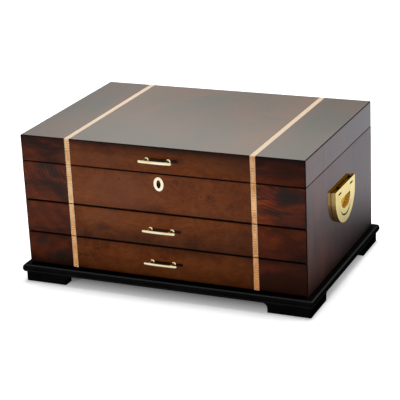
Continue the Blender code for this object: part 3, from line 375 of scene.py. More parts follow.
def outer_fields(s, seeded, sway, left, right, lines, warm_right):
    """Dark veneer outside the bands, with growth lines round a place beside each band."""
    x, _, _ = s.axes()
    warp = s.scaled(sway, 0.022)
    away = s.mix(s.above(x, 0.0), left, right)
    run = s.vector("ADD", s.vector("SUBTRACT", s.place, away), warp)
    run = s.vector("LENGTH", s.stretched(run, (0.8, 0.8, 1.25)))
    ring = s.plus(run, s.times(s.noise(seeded, 60, 2), 0.0035))
    drawn = s.stretched(s.vector("ADD", seeded, warp), (0.45, 1.0, 1.35))
    shown = s.times(s.between(s.noise(seeded, 26, 2), 0.38, 0.62), lines)
    fine = s.times(s.times(s.wave(ring, FINE_LINES), shown), 0.055)
    level = s.plus(s.noise(drawn, 24, 4, 0.55, 0.5), fine)
    level = s.plus(level, s.times(s.wave(ring, BROAD_LINES), 0.025))
    colour = s.ramp(level, (0.36, OUTER[0]), (0.50, OUTER[1]), (0.64, OUTER[2]))
    near_band = s.between(s.absolute(s.minus(x, BAND_CENTRE)), 0.0, 0.05, 1.0, 0.0)
    warmth = (warm_right, warm_right**0.9, warm_right**0.7)
    return s.mix(near_band, colour, s.stretched(colour, warmth))


def ellipse(s, sway, at_x, at_z, wide, tall):
    """0 at the middle of an ellipse with a wavy outline on the front, and 1 at its rim."""
    off = s.vector("ADD", s.place, s.scaled(sway, 0.017))
    off = s.vector("SUBTRACT", off, (at_x, FRONT, at_z))
    return s.vector("LENGTH", s.stretched(off, (1 / wide, 1 / wide, 1 / tall)))


# Painted light and shade: scales the colour by a ramp of light levels over height
def lit_by_height(s, colour, rise, lean):
    x, _, z = s.axes()
    foot, span = rise[0][0], rise[-1][0] - rise[0][0]
    level = s.minus(z, s.between(x, -0.19, 0.10, lean, 0.0))
    height = s.math("DIVIDE", s.minus(level, foot), span)
    return s.scaled(colour, s.ramp(height, *[((at - foot) / span, light) for at, light in rise]))


def veneer(
    name, seed, left, right, knots=(), burls=(), blotches=(), lines=1.0, tones=(1.0, 1.0, 1.0),
    warm_right=1.0, rise=(), lean=0.0,
):
    """Burl veneer: mottled chestnut between the inlay bands, dark figured veneer outside them.

    left and right are the places that the growth lines of the outer fields run round. On the
    front, knots are (place, radius), burls, where small knots crowd, are (x, z, half width, half
    height), and blotches are (x, z, half width, half height, strength, colour). lines is how much
    the growth lines show, tones are how light the left, centre and right fields are, and
    warm_right is how much lighter and redder the right field is beside the band. The height ramp
    holds (height, light level) stops of painted light and shade, which darken each front towards
    its lower and upper edges, and lean is how much higher they lie at the left end.
    """
    s = Shader(name)
    x, _, _ = s.axes()
    seeded = s.vector("ADD", s.place, (seed, 1.7 * seed, 2.3 * seed))
    sway = s.vector("SUBTRACT", s.noise(seeded, 22, 2, colour=True), (0.5, 0.5, 0.5))
    swirled = s.vector("ADD", seeded, s.scaled(sway, 0.05))

    across = s.minus(s.absolute(x), BAND_CENTRE)
    outer = outer_fields(s, seeded, sway, left, right, lines, warm_right)
    colour = s.mix(s.above(across, 0.0), centre_field(s, seeded), outer)
    tone = s.number(s.above(x, BAND_CENTRE), tones[1], tones[2])
    tone = s.number(s.math("LESS_THAN", x, -BAND_CENTRE), tone, tones[0])
    colour = s.scaled(colour, tone)
    fleck = s.noise(s.stretched(swirled, (0.28, 0.28, 1.1)), 330, 3, 0.7)
    colour = s.mix(s.between(fleck, 0.35, 0.70, 0.0, 0.22), colour, (0.0, 0.0, 0.0))

    for *spot, strength, stain in blotches:
        share = s.between(ellipse(s, sway, *spot), 0.3, 1.25, strength, 0.0)
        colour = s.mix(share, colour, stain)
    for spot in burls:
        share = s.times(s.between(ellipse(s, sway, *spot), 0.5, 1.1, 1.0, 0.0), 0.85)
        share = s.times(share, s.between(s.cells(swirled, 330), 0.2, 0.5, 1.0, 0.15))
        colour = s.mix(share, colour, KNOT)
    # Painted light and shade: each front darker towards its lower and upper edges
    if rise:
        colour = lit_by_height(s, colour, rise, lean)
    for place, radius in knots:
        gone = s.vector("SUBTRACT", s.vector("ADD", s.place, s.scaled(sway, 0.0055)), place)
        share = s.between(s.vector("LENGTH", gone), 0.25 * radius, radius, 0.75, 0.0)
        colour = s.mix(share, colour, KNOT)

    # Stain in the joint beside each band
    beside = s.between(s.absolute(across), BAND_HALF, BAND_HALF + 1.1 * MM, 0.8, 0.0)
    return s, s.mix(beside, colour, JOINT_STAIN)


def front_lacquer(s, front_coat=0.4, right_coat=1.0, top_coat=1.0):
    """How much lacquer lies on a piece: full on its sides, and thinner on the front.

    right_coat and top_coat are what is left of it at the right of a front and at the back of the
    top.
    """
    x, y, _ = s.axes()
    forward = s.between(s.absolute(s.normal()[1]), 0.4, 0.9)
    thinner = s.between(y, -0.1, 0.1, 1.0, top_coat)
    weight = s.number(s.between(s.normal()[2], 0.5, 0.9), 1.0, thinner)
    return s.number(forward, weight, s.between(x, -0.05, 0.19, front_coat, right_coat * front_coat))


def lacquer(s, colour, weight, coat_roughness=0.12):
    """Lacquer over a colour, slightly rippled."""
    s.set(Base_Color=colour, Roughness=0.55, Coat_Weight=weight, Coat_Roughness=coat_roughness)
    s.set(Coat_IOR=1.28, IOR=1.3, Specular_IOR_Level=0.05)
    s.bump(s.noise(s.place, 260, 2), 0.05, 0.0002, "Coat Normal")
    return s.material


def top_figure(s):
    """Soft cool and warm patches of the top, warmest beside the bands and towards the back."""
    x, y, _ = s.axes()
    patch = s.noise(s.stretched(s.place, (1.0, 0.7, 1.0)), 11, 2, 0.5, 0.6)
    beside = s.between(s.absolute(s.minus(s.absolute(x), BAND_CENTRE)), 0.0, 0.03, 0.16, 0.0)
    level = s.plus(s.plus(patch, beside), s.between(y, -0.1, 0.12, -0.07, 0.07))
    warmth = s.between(level, 0.36, 0.68)
    centre, right, left = (s.mix(warmth, *pair) for pair in TOP_TONES)
    outer = s.mix(s.math("LESS_THAN", x, 0.0), right, left)
    return s.mix(s.above(s.absolute(x), BAND_CENTRE), centre, outer)


def streaks(s, colour):
    """Upright reddish streaks and patches over the dark veneer of the sides, with painted shade
    along their lowest part.
    """
    _, y, z = s.axes()
    streak = s.noise(s.stretched(s.place, (1.0, 1.0, 0.16)), 60, 4, 0.6, 0.3)
    patch = s.noise(s.stretched(s.place, (1.0, 1.0, 0.6)), 19, 2, 0.5, 0.4)
    level = s.plus(s.times(streak, 0.4), s.times(patch, 0.6))
    red = s.mix(s.between(y, -0.07, 0.01), *STREAK)
    colour = s.mix(s.between(level, 0.36, 0.66, 0.25, 1.0), colour, red)
    off = s.point(0.0, s.math("DIVIDE", y, 0.05), s.between(z, 0.10, 0.16, 1.2, 0.0))
    share = s.between(s.vector("LENGTH", off), 0.2, 1.2, 0.6, 0.0)
    # Painted shade: the sides darken towards the bottom, to 0.3 of their colour at the foot
    return s.scaled(s.mix(share, colour, RED_PATCH), s.between(z, 0.02, 0.055, 0.3, 1.0))


def box_veneer(node, name, front_coat, right_coat=1.0, **figure):
    """Veneer of a node, with painted shade along its edges and seams, where the coat is left off
    too.
    """
    s, colour = veneer(name, **figure)
    across, back, up = s.normal()
    aside = s.math("MAXIMUM", s.absolute(across), back)
    colour = s.mix(s.between(aside, 0.5, 0.9), colour, streaks(s, colour))
    colour = s.mix(s.between(up, 0.5, 0.9, 0.0, 0.75), colour, top_figure(s))
    edges = edge_lines(s, *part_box(node), 1.3 * MM)
    # Painted shade: the edges and seams are darkened and lose their coat
    colour = s.mix(s.times(edges, 0.95), colour, EDGE_PAINTED_SHADE)
    weight = front_lacquer(s, front_coat, right_coat, top_coat=0.87)
    return lacquer(s, colour, s.times(weight, s.minus(1.0, edges)))


def side_veneer():
    """The sides and the back: dark veneer with upright reddish streaks."""
    s, colour = veneer("veneer_side", 5.2, (-0.19, 0.05, 0.30), (0.19, 0.05, 0.30), lines=0.25)
    return lacquer(s, streaks(s, colour), 1.0, SIDE_COAT_ROUGHNESS)


def inlay():
    """Banding: two pale lines with a row of small chequers between them."""
    s = Shader("inlay_banding")
    x, y, z = s.axes()
    on_right = s.above(x, 0.0)
    across = s.absolute(s.math("DIVIDE", s.minus(s.absolute(x), BAND_CENTRE), BAND_HALF))
    along = s.plus(s.minus(z, y), s.times(s.noise(s.place, 120, 1), 2.5 * MM))
    clear = s.between(s.noise(s.place, 70, 1), 0.36, 0.54, 0.25, 1.1)
    patchy = s.times(s.minus(s.noise(s.place, 75, 2), 0.5), 5.0)
    check = s.plus(s.times(s.wave(along, CHEQUER_PITCH), clear), patchy)
    core = s.ramp(s.between(check, -1.0, 1.1), (0.0, CHEQUERS[0]), (1.0, CHEQUERS[1]))
    edge = s.ramp(s.noise(s.place, 90, 3), (0.3, BAND_EDGE[0]), (0.7, BAND_EDGE[1]))
    colour = s.mix(s.between(across, 0.54, 0.66), core, edge)
    colour = s.mix(on_right, colour, s.stretched(colour, (1.02, 0.91, 0.82)))
    # Painted shade: the bands darken towards the bottom, as the fronts do
    low = s.stretched(colour, (0.88, 0.74, 0.60))
    colour = s.mix(s.between(z, 0.03, 0.125), low, colour)
    pale = s.between(s.absolute(s.minus(z, PALE_SPOT_Z)), 0.004, 0.015, 0.55, 0.0)
    paler = s.stretched(colour, (1.45, 1.62, 1.8))
    colour = s.mix(s.times(pale, on_right), colour, paler)
    colour = s.mix(s.times(s.between(across, 0.88, 1.0), 0.6), colour, BAND_RIM)
    # Painted sheen: the bands' top faces take paler colours
    up = s.between(s.normal()[2], 0.4, 0.9)
    colour = s.mix(s.times(up, 0.75), colour, s.mix(on_right, *BAND_TOP_PAINTED_SHEEN))
    return lacquer(s, colour, front_lacquer(s))


def ebonised():
    """Black lacquer: thin on the flats, thicker along its shoulder, which has a painted highlight,
    and with painted highlight lines along its lower part, brighter on the sides.
    """
    s = Shader("ebonised_lacquer")
    colour = s.ramp(s.noise(s.place, 40, 4, 0.6), (0.3, EBONY[0]), (0.7, EBONY[1]))
    across, _, up = s.normal()
    shoulder = s.times(s.between(up, 0.45, 0.6), s.between(up, 0.85, 0.75))
    # Painted highlight along the shoulder
    colour = s.mix(shoulder, colour, EBONY_SHOULDER_PAINTED_HIGHLIGHT)
    sideways = s.between(s.absolute(across), 0.5, 0.8)
    below = s.between(up, s.number(sideways, -0.2, -0.02), s.number(sideways, -0.3, -0.1))
    low_highlight = s.times(below, s.between(up, -0.6, -0.5))
    # Painted highlight along the lower part of the moulding, brighter on the sides
    colour = s.mix(low_highlight, colour, s.mix(sideways, *EBONY_LOW_PAINTED_HIGHLIGHT))
    weight = s.plus(s.times(shoulder, 0.24), 0.02)
    s.set(Base_Color=colour, Roughness=0.5, Specular_IOR_Level=0.0)
    s.set(Coat_Weight=weight, Coat_Roughness=0.06, Coat_IOR=1.6)
    s.bump(s.noise(s.place, 300, 2), 0.05, 0.0002)
    return s.material


def handle_place(s):
    """Where a point lies on a handle, across it and above the middle of its round part."""
    _, y, z = s.axes()
    return s.minus(y, BAIL_MIDDLE), s.minus(z, BAIL_LOW.z + BAIL_RADIUS)


def near_rim(s, reach):
    """1 in a strip along the outline of a handle, which is three times as deep along its top."""
    across, above = handle_place(s)
    out = s.vector("LENGTH", s.point(0.0, across, s.math("MINIMUM", above, 0.0)))
    rim = s.between(out, BAIL_RADIUS - reach - MM, BAIL_RADIUS - reach)
    top = BAIL_HIGH.z - BAIL_LOW.z - BAIL_RADIUS - 3 * reach
    return s.math("MAXIMUM", rim, s.between(above, top - MM, top))


def in_finger_hole(s):
    """1 inside the finger hole of a handle, and just beside it."""
    across, above = handle_place(s)
    middle = BAIL_HIGH.z - HOLE_DOWN - BAIL_LOW.z - BAIL_RADIUS
    wide = s.math("DIVIDE", across, HOLE_WIDE)
    tall = s.math("DIVIDE", s.minus(above, middle), HOLE_TALL)
    return s.between(s.vector("LENGTH", s.point(0.0, wide, tall)), 0.95, 1.1, 1.0, 0.0)


def slots(s, outward, hole):
    """1 in what is cut into a bail's face, such as its slots, apart from the finger hole."""
    deep = BAIL_HIGH.x - SLOT_DEEP
    within = s.between(s.absolute(s.axes()[0]), deep, deep + 0.2 * MM, 1.0, 0.0)
    within = s.times(within, s.between(outward, -0.6, -0.3))
    within = s.times(within, s.minus(1.0, s.math("MAXIMUM", near_rim(s, MM), hole)))
    across, above = handle_place(s)
    between_lugs = s.between(s.absolute(across), LUG_INNER, LUG_INNER + MM, 1.0, 0.0)
    notch = s.times(between_lugs, s.between(above, LUG_FOOT, LUG_FOOT + MM))
    lengthwise = s.between(s.absolute(s.normal()[1]), 0.5, 0.8)
    return s.math("MAXIMUM", within, s.times(notch, lengthwise))


def plated(name, roughness, tint):
    """Polished gold plate, with faint lines and slightly deeper colour in patches."""
    s = Shader(name)
    lines = s.noise(s.stretched(s.place, (30, 30, 900)), 1.0, 2)
    deep = tuple(c * k for c, k in zip(tint, (0.92, 0.84, 0.70)))
    colour = s.ramp(s.noise(s.place, 60, 3), (0.35, deep), (0.65, tint))
    s.bump(s.noise(s.place, 500, 2), 0.04, 0.0002)
    return s, colour, s.between(lines, 0.2, 0.8, 0.85 * roughness, 1.2 * roughness)


def gold(name, roughness=0.2, tint=(0.80, 0.66, 0.30)):
    s, colour, roughness = plated(name, roughness, tint)
    s.set(Base_Color=colour, Roughness=roughness, Metallic=1.0)
    return s.material


def handle_gold(name, tint, front, is_bail):
    """Gold plate of a bail, or of the plate behind it. front is a lighter tint painted on what
    faces the front as a painted highlight, and those faces are rougher.

    The walls of the bail's finger hole and the face of the plate are satin. The bail's slots and
    the notches between its lugs, and the plate's lugs and rim, get painted shade, near-black and
    not metal, and the top faces along the rim get a darker painted shade.
    """
    s, colour, roughness = plated(name, 0.2, tint)
    # Painted highlight: faces that look forward take the lighter front tint, and are rougher
    forward = s.between(s.normal()[1], -0.5, -0.9)
    colour = s.mix(forward, colour, front)
    roughness = s.number(forward, roughness, 0.4)
    # Painted shade: the top faces along the rim are darkened
    upper = s.times(s.between(s.normal()[2], 0.1, 0.6), near_rim(s, 1.7 * MM))
    colour = s.mix(upper, colour, HANDLE_TOP_PAINTED_SHADE)
    outward = s.times(s.normal()[0], s.math("SIGN", s.axes()[0]))
    if is_bail:
        hole = in_finger_hole(s)
        satin = s.times(hole, s.between(s.absolute(outward), 0.3, 0.5, 1.0, 0.0))
        shade_mask = slots(s, outward, hole)
    else:
        satin = s.between(outward, 0.3, 0.8)
        lugs = s.between(s.absolute(s.axes()[0]), BAIL_LOW.x - 0.3 * MM, BAIL_LOW.x)
        shade_mask = s.math("MAXIMUM", lugs, s.times(satin, near_rim(s, 1.5 * MM)))
    glint = s.mix(s.math("MAXIMUM", upper, satin), (1.0, 1.0, 1.0), WARM_GLINT)
    # Painted shade: near-black and not metal in the slots, between the lugs and on the plate's rim
    colour = s.mix(shade_mask, s.mix(satin, colour, FINGER_GOLD), GAP_PAINTED_SHADE)
    metal = s.number(shade_mask, s.number(satin, 1.0, 0.55), 0.0)
    s.set(Base_Color=colour, Roughness=roughness, Metallic=metal)
    s.set(Specular_Tint=glint, Specular_IOR_Level=0.0)
    return s.material


def suede(name, pale, deep):
    """Brushed suede cloth: soft patches where the nap lies the other way."""
    s = Shader(name)
    patch = s.noise(s.place, 24, 4, 0.6, 0.8)
    nap = s.noise(s.place, 1400, 3, 0.7)
    tone = s.plus(s.times(patch, 0.75), s.times(nap, 0.25))
    s.set(Base_Color=s.ramp(tone, (0.32, deep), (0.68, pale)), Roughness=0.95)
    s.set(Sheen_Weight=0.5, Sheen_Roughness=0.4, Specular_IOR_Level=0.15)
    s.bump(nap, 0.35, 0.0003)
    return s.material


def drawer_wood():
    """Straight-grained satin brown wood of the drawer boxes."""
    s = Shader("drawer_wood")
    grain = s.noise(s.stretched(s.place, (1.0, 0.16, 3.0)), 130, 4, 0.65, 0.4)
    rays = s.noise(s.stretched(s.place, (1.0, 0.05, 6.0)), 420, 2, 0.6)
    tone = s.plus(s.times(grain, 0.7), s.times(rays, 0.3))
    s.set(Base_Color=s.ramp(tone, (0.32, (0.045, 0.018, 0.008)), (0.68, (0.16, 0.072, 0.033))))
    s.set(Roughness=s.between(grain, 0.3, 0.7, 0.5, 0.38), Coat_Weight=0.25, Coat_Roughness=0.3)
    s.bump(tone, 0.15, 0.0003)
    return s.material


def mirror():
    """Silvered glass of the lid's mirror."""
    s = Shader("silvered_glass")
    colour = s.ramp(s.noise(s.place, 6), (0.3, (0.86, 0.88, 0.88)), (0.7, (0.92, 0.93, 0.93)))
    s.set(Base_Color=colour, Metallic=1.0, Roughness=0.02)
    return s.material


# Pieces of the scene


def paint(node, material):
    for slot in NODES[node].material_slots:
        slot.material = material


def link(name, data):
    obj = bpy.data.objects.new(name, data)
    bpy.context.scene.collection.objects.link(obj)
    return obj


def add_piece(name, mesh, material, body):
    obj = link(name, mesh)
    mesh.materials.clear()
    mesh.materials.append(material)
    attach(obj, body)
    return obj


def mesh_of(name, bm):
    bmesh.ops.recalc_face_normals(bm, faces=bm.faces)
    mesh = bpy.data.meshes.new(name)
    bm.to_mesh(mesh)
    bm.free()
    return mesh


def evaluated_copy(name, obj):
    """The mesh of an object with its modifiers applied; the object itself goes."""
    graph = bpy.context.evaluated_depsgraph_get()
    mesh = bpy.data.meshes.new_from_object(obj.evaluated_get(graph))
    mesh.name = name
    bpy.data.objects.remove(obj)
    return mesh


def carved(name, obj, tool, operation):
    """An object joined with a tool or cut by it; the tool goes."""
    change = obj.modifiers.new("carve", "BOOLEAN")
    change.operation, change.solver, change.object = operation, "EXACT", tool
    mesh = evaluated_copy(name, obj)
    bpy.data.objects.remove(tool)
    return link(name, mesh)


def turned(bm, profile, place, sides):
    """A closed form turned about its own Z, from (radius, height) points."""
    rings = []
    for radius, height in profile:
        angles = [0.0] if radius == 0 else [2 * math.pi * k / sides for k in range(sides)]
        spots = [Vector((radius * math.cos(a), radius * math.sin(a), height)) for a in angles]
        rings.append([bm.verts.new(place @ spot) for spot in spots])
    for lower, upper in zip(rings, rings[1:]):
        for k in range(sides):
            quad = [lower[k % len(lower)], lower[(k + 1) % len(lower)]]
            quad += [upper[(k + 1) % len(upper)], upper[k % len(upper)]]
            bm.faces.new(list(dict.fromkeys(quad)))


def soften(bm):
    """Rounds the edges of a lining board."""
    bmesh.ops.bevel(
        bm, geom=bm.edges[:], offset=LINING_ROUND, segments=3, profile=0.5, affect="EDGES"
    )


def board_mesh(name, outline, spot, inward):
    """A thin board with soft edges. spot turns a point of the outline into a place on the wall."""
    bm = bmesh.new()
    face = bm.faces.new([bm.verts.new(spot(*point)) for point in outline])
    grown = bmesh.ops.extrude_face_region(bm, geom=[face])["geom"]
    moved = [g for g in grown if isinstance(g, bmesh.types.BMVert)]
    bmesh.ops.translate(bm, verts=moved, vec=Vector(inward) * LINING_THICK)
    soften(bm)
    return mesh_of(name, bm)


def notched(start, end, foot, top, notches, notch_top):
    """Outline of a wall board, cut out from below where the dividers meet the wall."""
    outline = [(start, foot)]
    for centre in sorted(notches):
        left, right = centre - NOTCH_HALF, centre + NOTCH_HALF
        outline += [(left, foot), (left, notch_top), (right, notch_top), (right, foot)]
    return outline + [(end, foot), (end, top), (start, top)]


def line_walls(prefix, body, low, high, notch_top=0.0):
    """Suede-covered boards on the four walls of a box between two corners."""
    gap, thick = LINING_GAP, LINING_THICK
    x_notches, y_notches = DIVIDERS.get(prefix, ((), ()))
    wide = (low.x + gap, high.x - gap)
    deep = (low.y + 2 * gap + thick, high.y - 2 * gap - thick)
    walls = (
        ("front", wide, x_notches, lambda a, u: Vector((a, low.y + gap, u)), (0, 1, 0)),
        ("back", wide, x_notches, lambda a, u: Vector((a, high.y - gap, u)), (0, -1, 0)),
        ("left", deep, y_notches, lambda a, u: Vector((low.x + gap, a, u)), (1, 0, 0)),
        ("right", deep, y_notches, lambda a, u: Vector((high.x - gap, a, u)), (-1, 0, 0)),
    )
    for side, (start, end), notches, spot, inward in walls:
        name = f"{prefix}_lining_{side}"
        outline = notched(start, end, low.z + gap, high.z - gap, notches, notch_top)
        add_piece(name, board_mesh(name, outline, spot, inward), SUEDE, body)


def line_ceiling(z):
    """A ring of covered board in the lid, round the mirror frame."""
    inset, gap = LINING_THICK + 2 * LINING_GAP, 0.2 * MM
    low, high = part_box("mirror_frame")
    bm = bmesh.new()
    loops = []
    for left, right, front, back in (
        (inset - INNER_HALF, INNER_HALF - inset, INNER_FRONT + inset, INNER_BACK - inset),
        (low.x - gap, high.x + gap, low.y - gap, high.y + gap),
    ):
        corners = [(left, front), (right, front), (right, back), (left, back)]
        for level in (z, z - LINING_THICK):
            loops.append([bm.verts.new((x, y, level)) for x, y in corners])
    outer_top, outer_foot, inner_top, inner_foot = loops
    section = (outer_top, outer_foot, inner_foot, inner_top, outer_top)
    for a, b in zip(section, section[1:]):
        for k in range(4):
            bm.faces.new((a[k], a[(k + 1) % 4], b[(k + 1) % 4], b[k]))
    soften(bm)
    name = "lid_lining_ceiling"
    add_piece(name, mesh_of(name, bm), SUEDE, "lid")


def screw_mesh(name, profile, radius, depth):
    """A turned screw with a cross recess in its head."""
    bm = bmesh.new()
    turned(bm, profile, Matrix(), 24)
    screw = link(name, mesh_of(name, bm))
    top = Matrix.Translation((0, 0, max(height for _, height in profile)))
    slot = Matrix.Diagonal((1.15 * radius, 0.2 * radius, 2 * depth, 1))
    for turn in (0, 90):
        bm = bmesh.new()
        bmesh.ops.create_cube(bm, size=1)
        spin = Matrix.Rotation(math.radians(turn), 4, "Z")
        bmesh.ops.transform(bm, matrix=top @ spin @ slot, verts=bm.verts)
        cutter = link(f"{name}_recess", mesh_of(f"{name}_recess", bm))
        screw = carved(name, screw, cutter, "DIFFERENCE")
    mesh = screw.data
    bpy.data.objects.remove(screw)
    return mesh


def countersunk(name, head, depth, shank, length):
    """A pointed screw with a flat head; head and shank are radii."""
    rim = 0.15 * depth
    profile = [(0, -length), (0.5 * shank, -length + 2 * shank), (shank, -length + 3 * shank)]
    profile += [(shank, -depth), (head, -rim), (head, -0.4 * rim)]
    profile += [(0.6 * head, 0.0), (0, 0.3 * rim)]
    return screw_mesh(name, profile, head, 0.7 * depth)


def pan_head(name, head, height):
    """The domed head of a screw; head is its radius."""
    profile = [(0, -0.2 * MM), (0.9 * head, -0.2 * MM), (head, 0.2 * height)]
    profile += [(0.95 * head, 0.55 * height), (0.75 * head, 0.85 * height)]
    profile += [(0.4 * head, height), (0, height)]
    return screw_mesh(name, profile, head, 0.5 * height)


def set_screws(prefix, mesh, places, outward, body):
    """Screws that face outward, each turned a little further than the last."""
    facing = Vector(outward).to_track_quat("Z", "Y").to_matrix().to_4x4()
    for number, place in enumerate(places):
        at = Matrix.Translation(place) @ facing @ Matrix.Rotation(0.5 + 1.1 * number, 4, "Z")
        copied = mesh.copy()
        copied.transform(at)
        add_piece(f"{prefix}_{number + 1}", copied, GOLD, body)


def puff(obj, cap):
    """Swells a cushion's cover by cloth simulation, with no point moved further than the cap."""
    cloth = obj.modifiers.new("puff", "CLOTH")
    cloth.settings.use_pressure = True
    cloth.settings.uniform_pressure_force = ROLL_PRESSURE
    cloth.settings.effector_weights.gravity = 0
    for number in range(1, ROLL_FRAMES + 1):
        bpy.context.scene.frame_set(number)
    swollen = obj.evaluated_get(bpy.context.evaluated_depsgraph_get()).to_mesh()
    ends = [vertex.co.copy() for vertex in swollen.vertices]
    obj.modifiers.remove(cloth)
    bpy.context.scene.frame_set(1)
    for vertex, end in zip(obj.data.vertices, ends):
        step = end - vertex.co
        vertex.co += step * min(1.0, cap / max(step.length, 1e-9))


def bar_mesh(name, half, tall, start_y, middle_z):
    """A pull's bar: bowed, of rounded section, and smaller where its ends round off."""
    ends = (0.0, 0.1, 0.35, 0.7, 1.0)
    places = [-half + half * PULL_END * t for t in ends]
    places += [half * (1 - PULL_END) * (2 * k / 12 - 1) for k in range(1, 12)]
    places += [half - half * PULL_END * t for t in reversed(ends)]
    bm = bmesh.new()
    rings = []
    for x in places:
        inside = min(1.0, (half - abs(x)) / (half * PULL_END))
        size = max(0.35, math.sqrt(1 - (1 - inside) ** 2))
        y = start_y + PULL_DEEP + PULL_BOW * (x / half) ** 2
        ring = []
        for k in range(PULL_SIDES):
            a = 2 * math.pi * k / PULL_SIDES
            out, up = (math.copysign(abs(v) ** 0.8, v) for v in (math.cos(a), math.sin(a)))
            spot = (x, y + size * PULL_DEEP * out, middle_z + size * tall * up)
            ring.append(bm.verts.new(spot))
        rings.append(ring)
    for one, two in zip(rings, rings[1:]):
        for k in range(PULL_SIDES):
            after = (k + 1) % PULL_SIDES
            bm.faces.new((one[k], one[after], two[after], two[k]))
    bm.faces.new(rings[0])
    bm.faces.new(reversed(rings[-1]))
    return mesh_of(name, bm)


def pull_casting(node, body):
    """A pull as it is cast: a bar on two turned posts with collars."""
    low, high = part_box(node)
    middle = (low.z + high.z) / 2
    name = node + "_bar"
    bar = link(name, bar_mesh(name, high.x, (high.z - low.z) / 2, low.y, middle))
    reach = FRONT - low.y - PULL_DEEP - PULL_BOW
    profile = [(r * MM, h * MM) for r, h in POST_FOOT] + [(2.1 * MM, reach - 0.4 * MM), (0, reach)]
    for side in (-1, 1):
        place = Matrix.Translation((side * PULL_POST_X, FRONT, middle))
        bm = bmesh.new()
        turned(bm, profile, place @ Matrix.Rotation(math.pi / 2, 4, "X"), 24)
        post = link(node + "_post", mesh_of(node + "_post", bm))
        bar = carved(name, bar, post, "UNION")
    mesh = bar.data.copy()
    bpy.data.objects.remove(bar)
    mesh.name = node + "_casting"
    mesh.shade_smooth()
    mesh.set_sharp_from_angle(angle=math.radians(50))
    piece = add_piece(node + "_casting", mesh, PALE_GOLD, body)
    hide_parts(node)


def pad_matrix(low, high, radius, centre_z):
    """Place and size of the pad that the rolls are sewn to."""
    size = (high.x - low.x - 1.2 * radius, high.y - low.y - radius, centre_z - low.z)
    centre = ((low.x + high.x) / 2, (low.y + high.y) / 2, low.z + size[2] / 2)
    return Matrix.Translation(centre) @ Matrix.Diagonal((*size, 1))


def roll_profile(radius, reach):
    """(radius, height) points of a roll with rounded ends."""
    crown = 0.6 * radius
    arc = [math.radians(a) for a in range(0, 91, 15)]
    cap = [(radius * math.cos(a), reach - crown + crown * math.sin(a)) for a in arc]
    cap[-1] = (0.0, reach)
    return [(r, -h) for r, h in reversed(cap)] + cap


def ring_cushion(low, high):
    """Padded rolls sewn side by side over a flat underside, which grip rings between them."""
    pitch = (high.y - low.y) / ROLL_COUNT
    radius = pitch / 2 - ROLL_PUFF
    profile = roll_profile(radius, (high.x - low.x) / 2 - ROLL_PUFF)
    lie = Matrix.Rotation(math.pi / 2, 4, "Y")
    centre_z = high.z - ROLL_PUFF - radius
    bm = bmesh.new()
    for number in range(ROLL_COUNT):
        centre = ((low.x + high.x) / 2, low.y + pitch * (number + 0.5), centre_z)
        turned(bm, profile, Matrix.Translation(centre) @ lie, 20)
    bmesh.ops.create_cube(bm, size=1, matrix=pad_matrix(low, high, radius, centre_z))
    cushion = link("ring_roll_cushion", mesh_of("ring_roll_cushion", bm))
    remesh = cushion.modifiers.new("remesh", "REMESH")
    remesh.mode, remesh.voxel_size = "VOXEL", ROLL_VOXEL
    cushion = link("cushion_cover", evaluated_copy("cushion_cover", cushion))
    puff(cushion, 1.1 * ROLL_PUFF)
    seams = [low.y + pitch * number for number in range(1, ROLL_COUNT)]
    for vertex in cushion.data.vertices:
        spot = vertex.co
        seam = min(abs(spot.y - y) for y in seams)
        if spot.z > low.z + 5 * MM:
            spot.z -= ROLL_SEAM_DEPTH * math.exp(-((seam / ROLL_SEAM_WIDTH) ** 2))
        for axis in range(3):
            spot[axis] = min(max(spot[axis], low[axis]), high[axis])
    mesh = cushion.data.copy()
    bpy.data.objects.remove(cushion)
    mesh.name = "ring_roll_cushion"
    mesh.shade_smooth()
    piece = add_piece("ring_roll_cushion", mesh, ROLL_SUEDE, "case")
    smooth = piece.modifiers.new("smooth", "SUBSURF")
    smooth.levels = smooth.render_levels = 1
    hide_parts("ring_rolls")


# Dress the CAD nodes

